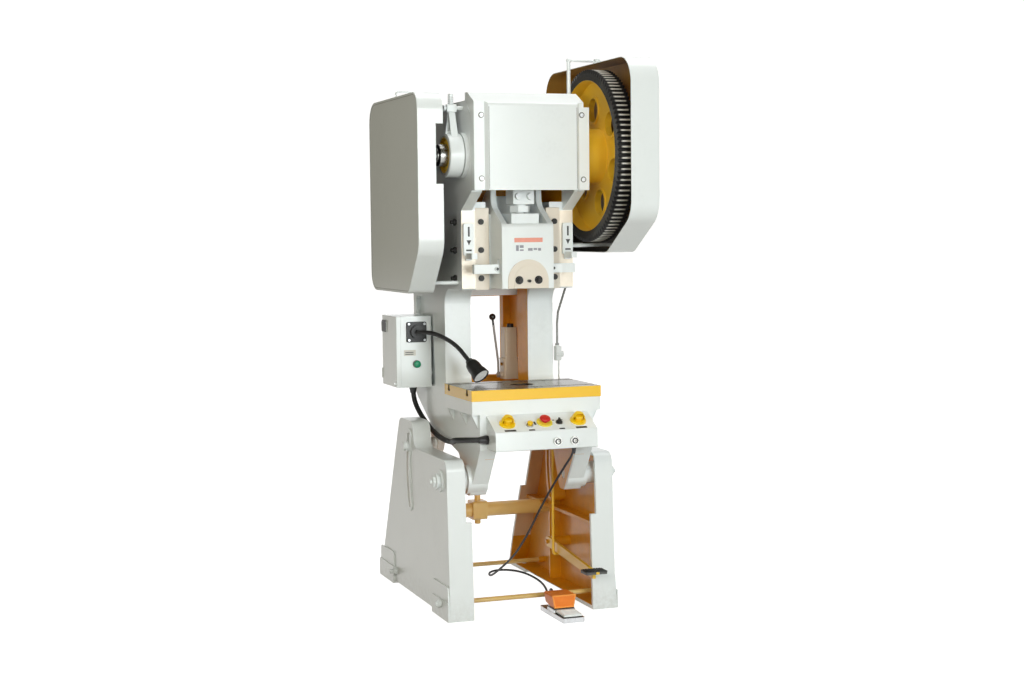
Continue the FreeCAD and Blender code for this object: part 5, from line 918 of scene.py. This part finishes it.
relief = Shape()
relief.lathe([(5, 0), (11, 0), (11, -7), (9, -10), (5.6, -30), (5, -30), (5, 0)],
             "Z", (136, -639.5, 708), 24)
relief.done("panel_cord_relief", "black", "frame", 0.4, "black_plastic")
relief = Shape(Matrix.Translation((0.102, -0.509, 0.0703)) @ Matrix.Rotation(math.radians(-80), 4, "X"))
relief.lathe([(5, 0), (10, 0), (10, 6), (8.4, 9), (5.6, 30), (5, 30), (5, 0)], sides=24)
relief.done("switch_cord_relief", "black", "base", 0.4, "black_plastic")

plate = Shape()
plate.prism(oblong(240, 302, 1140, 1192, 4), -407.2, -405.6, "X")
plate.done("door_plate", "print", "box_door", 0.3)
label = Shape()
label.prism(oblong(-369, -316, 1043, 1068, 2), 81.2, 82.2, "Y")
label.done("box_label", "pale_print", "frame", 0.1)
label = Shape()
for foot in (1048, 1056):
    label.prism(oblong(-363, -326, foot, foot + 3, 1), 80.9, 81.6, "Y")
label.done("box_label_marks", "print", "frame", 0)

LAMP_X, LAMP_Z, POWER_Z = -313, 1146, 1006  # the lamp's flange, and the green button below it
bezel = Shape()
bezel.lathe([(10.6, 0), (17, 0), (17, -5), (14, -7), (10.6, -7), (10.6, 0)], "Y", (LAMP_X, 82, POWER_Z), 36)
bezel.done("power_bezel", "grey", "frame", 0.3, "black_plastic")
cap = Shape()
cap.lathe([(0, 0), (15, 0), (16, -2), (15, -6), (11, -9), (0, -10)], "Y", (LAMP_X, 68.4, POWER_Z), 36)
cap.done("power_cap", "green", "power_button", 0.3, "green_plastic")
screws = Shape()
for x in (-35, 35):
    for z in (-35, 35):
        screws.screw(LAMP_X + x, 70, LAMP_Z + z, "Y", -1, 5.5, 3)
screws.done("lamp_flange_screws", "zinc", "frame", 0.2, "zinc")

LAMP_ROUTE = [
    (-0.313, 0.0579, 1.146), (-0.313, 0.026, 1.146), (-0.308, -0.009, 1.149), (-0.297, -0.048, 1.150),
    (-0.283, -0.090, 1.147), (-0.267, -0.130, 1.139), (-0.249, -0.167, 1.126), (-0.231, -0.201, 1.109),
    (-0.216, -0.233, 1.088), (-0.205, -0.262, 1.065), (-0.193, -0.284, 1.043)]
RIB_PITCH, RIB_RADIUS, GROOVE_RADIUS = 2.2, 9.4, 7.8
spots = along(LAMP_ROUTE, RIB_PITCH)
neck = Shape()
neck.tube(spots, [RIB_RADIUS if i % 2 else GROOVE_RADIUS for i in range(len(spots))], 16)
neck = neck.done("lamp_neck", "hose", "frame", 0)
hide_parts("gooseneck")


# ----------------------------------------------------------
# Small pieces on the motor, the oil pump, the legs and the foot controls
# ----------------------------------------------------------

MOTOR_Y, MOTOR_Z = 165, 1442
FIN_FOOT, FIN_TOP, FIN_HALF = 82, 93, 1.3  # from the motor's axis, and half a fin's thickness
middle = Matrix.Translation((0, MOTOR_Y * MM, MOTOR_Z * MM))
fins = Shape()
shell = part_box("motor_bracket")[0][0] / MM - 20
for turn in range(0, 360, 9):
    if 205 < turn < 335 or 70 < turn < 110:
        continue  # the motor's foot and its terminal box
    fins.turn = middle @ Matrix.Rotation(math.radians(turn), 4, "X")
    fins.block((shell + 14, shell + 236), (FIN_FOOT, FIN_TOP), (-FIN_HALF, FIN_HALF))
fins.done("motor_fins", "grey", "frame", 0)
grille = Shape()
end = shell + 284
for radius in (20, 34, 48, 62):
    grille.border(circle(radius + 3, 36, MOTOR_Y, MOTOR_Z), circle(radius, 36, MOTOR_Y, MOTOR_Z),
                  end - 1, end + 1.5, "X")
grille.done("motor_grille", "black", "frame", 0)

pump = Shape()
pump.lathe([(0, -1), (15, -1), (15, 12), (12, 16), (0, 16)], "Z", (150, 160, 1150), 28)
pump.done("pump_cap", "black", "frame", 0.5, "black_plastic")
pump = Shape()
pump.prism(oblong(128, 150, 1040, 1115, 6), 195.5, 198.5, "Y")
# The pump's sight window shares the glass with the painted glow.
pump.done("pump_window", "lens", "frame", 0.3, "lamp_glass")
pump = Shape()
pump.bolt(165, 196, 1030, "Y", 1, 9, 8)
pump.bolt(110, 160, 985, "X", -1, 8, 9)
pump.done("pump_fittings", "bronze", "frame", 0.2, "bronze")

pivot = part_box("pivot_pins")
for name, corner, way in (("left_pivot_nut", pivot[0], -1), ("right_pivot_nut", pivot[1], 1)):
    face = corner[0] / MM
    nut = Shape()
    washer = [(wide, out * way) for wide, out in ((0, -1), (34, -1), (34, 3), (31, 5), (0, 5))]
    nut.lathe(washer, "X", (face, PIVOT_Y, PIVOT_Z), 40)
    nut.bolt(face + 4 * way, PIVOT_Y, PIVOT_Z, "X", way, 23, 13, 10)
    nut.done(name, "white", "base", 0.8, "white_paint")

pad = Shape()
pad.block((199, 293), (-609, -545), (174.6, 178))
for x in range(206, 290, 12):
    pad.block((x, x + 5), (-606, -548), (177.6, 180))
pad.done("pedal_pad", "rubber", "foot_lever", 0.5, "black_rubber")

TREAD_Y, TREAD_TOP, TREAD_SLOPE = -701, 30, 4 / 83  # the treadle's front edge, and its rise from there
ridges = Shape()
for i in range(7):
    y = TREAD_Y + 6 + 11 * i
    top = TREAD_TOP + (y - TREAD_Y) * TREAD_SLOPE
    ridges.block((68, 136), (y, y + 4), (top - 0.8, top + 1.6))
ridges.done("treadle_ridges", "white", "foot_treadle", 0.4, "white_paint")
rim = Shape()
rim.border([(59, 38), (145, 38), (155, 92), (49, 92)], [(65, 44), (139, 44), (148, 86), (56, 86)],
           -604.5, -601, "Y")
rim.done("hood_rim", "orange_rim", "base", 0.8)
skirt = Shape()
skirt.block((57, 147), (-603, -545), (34, 38.4))
skirt.done("hood_skirt", "black", "base", 0.5, "black_plastic")


# ----------------------------------------------------------
# Floor, light and camera
# ----------------------------------------------------------

GROUND = -0.0005  # just below the feet
FLOOR_HALF, WALL_RADIUS, WALL_TOP, WALL_SIDES = 30, 28, 26, 64


def pale_surface(name, shape, glow):
    """A pale surface with an even glow, for the floor and the wall round it."""
    mesh = bpy.data.meshes.new(name)
    shape.to_mesh(mesh)
    shape.free()
    surface = bpy.data.objects.new(name, mesh)
    bpy.context.scene.collection.objects.link(surface)
    look = Look(name + "_finish", roughness=0.9, Emission_Strength=glow)
    look.shader.inputs["Emission Color"].default_value = (1, 1, 1, 1)
    pale = look.mix(look.noise(2, 2), (0.42, 0.42, 0.42, 1), (0.44, 0.44, 0.44, 1))
    mesh.materials.append(look.finish(pale))
    return surface


def floor():
    shape = bmesh.new()
    for x, y in oblong(-FLOOR_HALF, FLOOR_HALF, -FLOOR_HALF, FLOOR_HALF):
        shape.verts.new((x, y, GROUND))
    shape.faces.new(shape.verts)
    plane = pale_surface("floor", shape, 0.97)
    plane.visible_diffuse = False


def backdrop():
    """A pale wall all round the floor, that only the camera sees."""
    shape = bmesh.new()
    low, high = ([shape.verts.new((x, y, z)) for x, y in circle(WALL_RADIUS, WALL_SIDES)]
                 for z in (-0.01, WALL_TOP))
    for i in range(WALL_SIDES):
        shape.faces.new((low[i - 1], low[i], high[i], high[i - 1]))
    wall = pale_surface("backdrop", shape, 1.0)
    wall.visible_diffuse = wall.visible_glossy = wall.visible_shadow = False


def area_light(name, spot, aim, size, power, colour=(1, 1, 1)):
    """A soft light at a spot, turned to what it aims at, its power in watts."""
    light = bpy.data.lights.new(name, "AREA")
    light.shape = "RECTANGLE"
    light.size, light.size_y = size
    light.energy = power
    light.color = colour
    lamp = bpy.data.objects.new(name, light)
    lamp.location = spot
    lamp.rotation_euler = (Vector(aim) - Vector(spot)).to_track_quat("-Z", "Y").to_euler()
    bpy.context.scene.collection.objects.link(lamp)


# The world's light behind the object, and on the camera's side.
BEHIND, BEFORE = (1.12, 1.12, 1.12, 1), (0.18, 0.165, 0.125, 1)


def studio():
    """The light all round: bright behind the object, warm and dim on the camera's side."""
    world = bpy.data.worlds.new("studio")
    world.use_nodes = True
    tree = world.node_tree
    split = tree.nodes.new("ShaderNodeSeparateXYZ")
    tree.links.new(tree.nodes.new("ShaderNodeTexCoord").outputs["Generated"], split.inputs[0])

    def ramp(source, low, high, kind):
        node = tree.nodes.new("ShaderNodeMapRange")
        node.interpolation_type = kind
        for socket, number in zip(node.inputs[1:5], (low, high, 0.0, 1.0)):
            socket.default_value = number
        tree.links.new(source, node.inputs[0])
        return node.outputs[0]

    share = tree.nodes.new("ShaderNodeMath")
    share.operation = "MULTIPLY"
    tree.links.new(ramp(split.outputs[1], 0.40, 0.76, "SMOOTHSTEP"), share.inputs[0])
    tree.links.new(ramp(split.outputs[0], -0.14, 0.02, "LINEAR"), share.inputs[1])
    blend = tree.nodes.new("ShaderNodeMix")
    blend.data_type = "RGBA"
    blend.inputs[6].default_value = BEFORE
    blend.inputs[7].default_value = BEHIND
    tree.links.new(share.outputs[0], blend.inputs[0])
    tree.links.new(blend.outputs[2], tree.nodes["Background"].inputs[0])
    bpy.context.scene.world = world


floor()
backdrop()
studio()
area_light("key", (0.75, -7.0, 1.75), (0, -0.3, 1.1), (2.6, 2.6), 204, (0.93, 0.985, 1.0))
area_light("left_fill", (-3.2, -5.2, 2.6), (0, -0.2, 1.3), (1.8, 2.2), 108, (1.0, 0.965, 0.87))
area_light("right_fill", (5.0, -1.5, 2.2), (0, 0, 1.1), (2.5, 3.0), 60)
area_light("overhead", (0.6, 0.3, 5.6), (0.6, 0.3, 0), (4.0, 3.2), 130)

scene = bpy.context.scene
scene.view_settings.view_transform = "Standard"

# The photo's viewpoint: millimetres, metres, and degrees to the right, downwards and of tilt.
LENS, SENSOR = 58.78, 36
CAMERA_SPOT = (-2.35514, -6.90916, 1.59063)
YAW, PITCH, ROLL = 19.57, 3.86, -0.58
view = bpy.data.cameras.new("camera")
view.lens, view.sensor_width = LENS, SENSOR
view.clip_start, view.clip_end = 0.1, 60
camera = bpy.data.objects.new("camera", view)
scene.collection.objects.link(camera)
yaw, pitch, roll = (math.radians(angle) for angle in (YAW, PITCH, ROLL))
forward = Vector((math.sin(yaw) * math.cos(pitch), math.cos(yaw) * math.cos(pitch),
                  -math.sin(pitch)))
right = Vector((math.cos(yaw), -math.sin(yaw), 0))
up = right.cross(forward)
right, up = (right * math.cos(roll) + up * math.sin(roll), up * math.cos(roll) - right * math.sin(roll))
turn = Matrix((right, up, -forward)).transposed().to_4x4()
camera.matrix_world = Matrix.Translation(CAMERA_SPOT) @ turn
scene.camera = camera
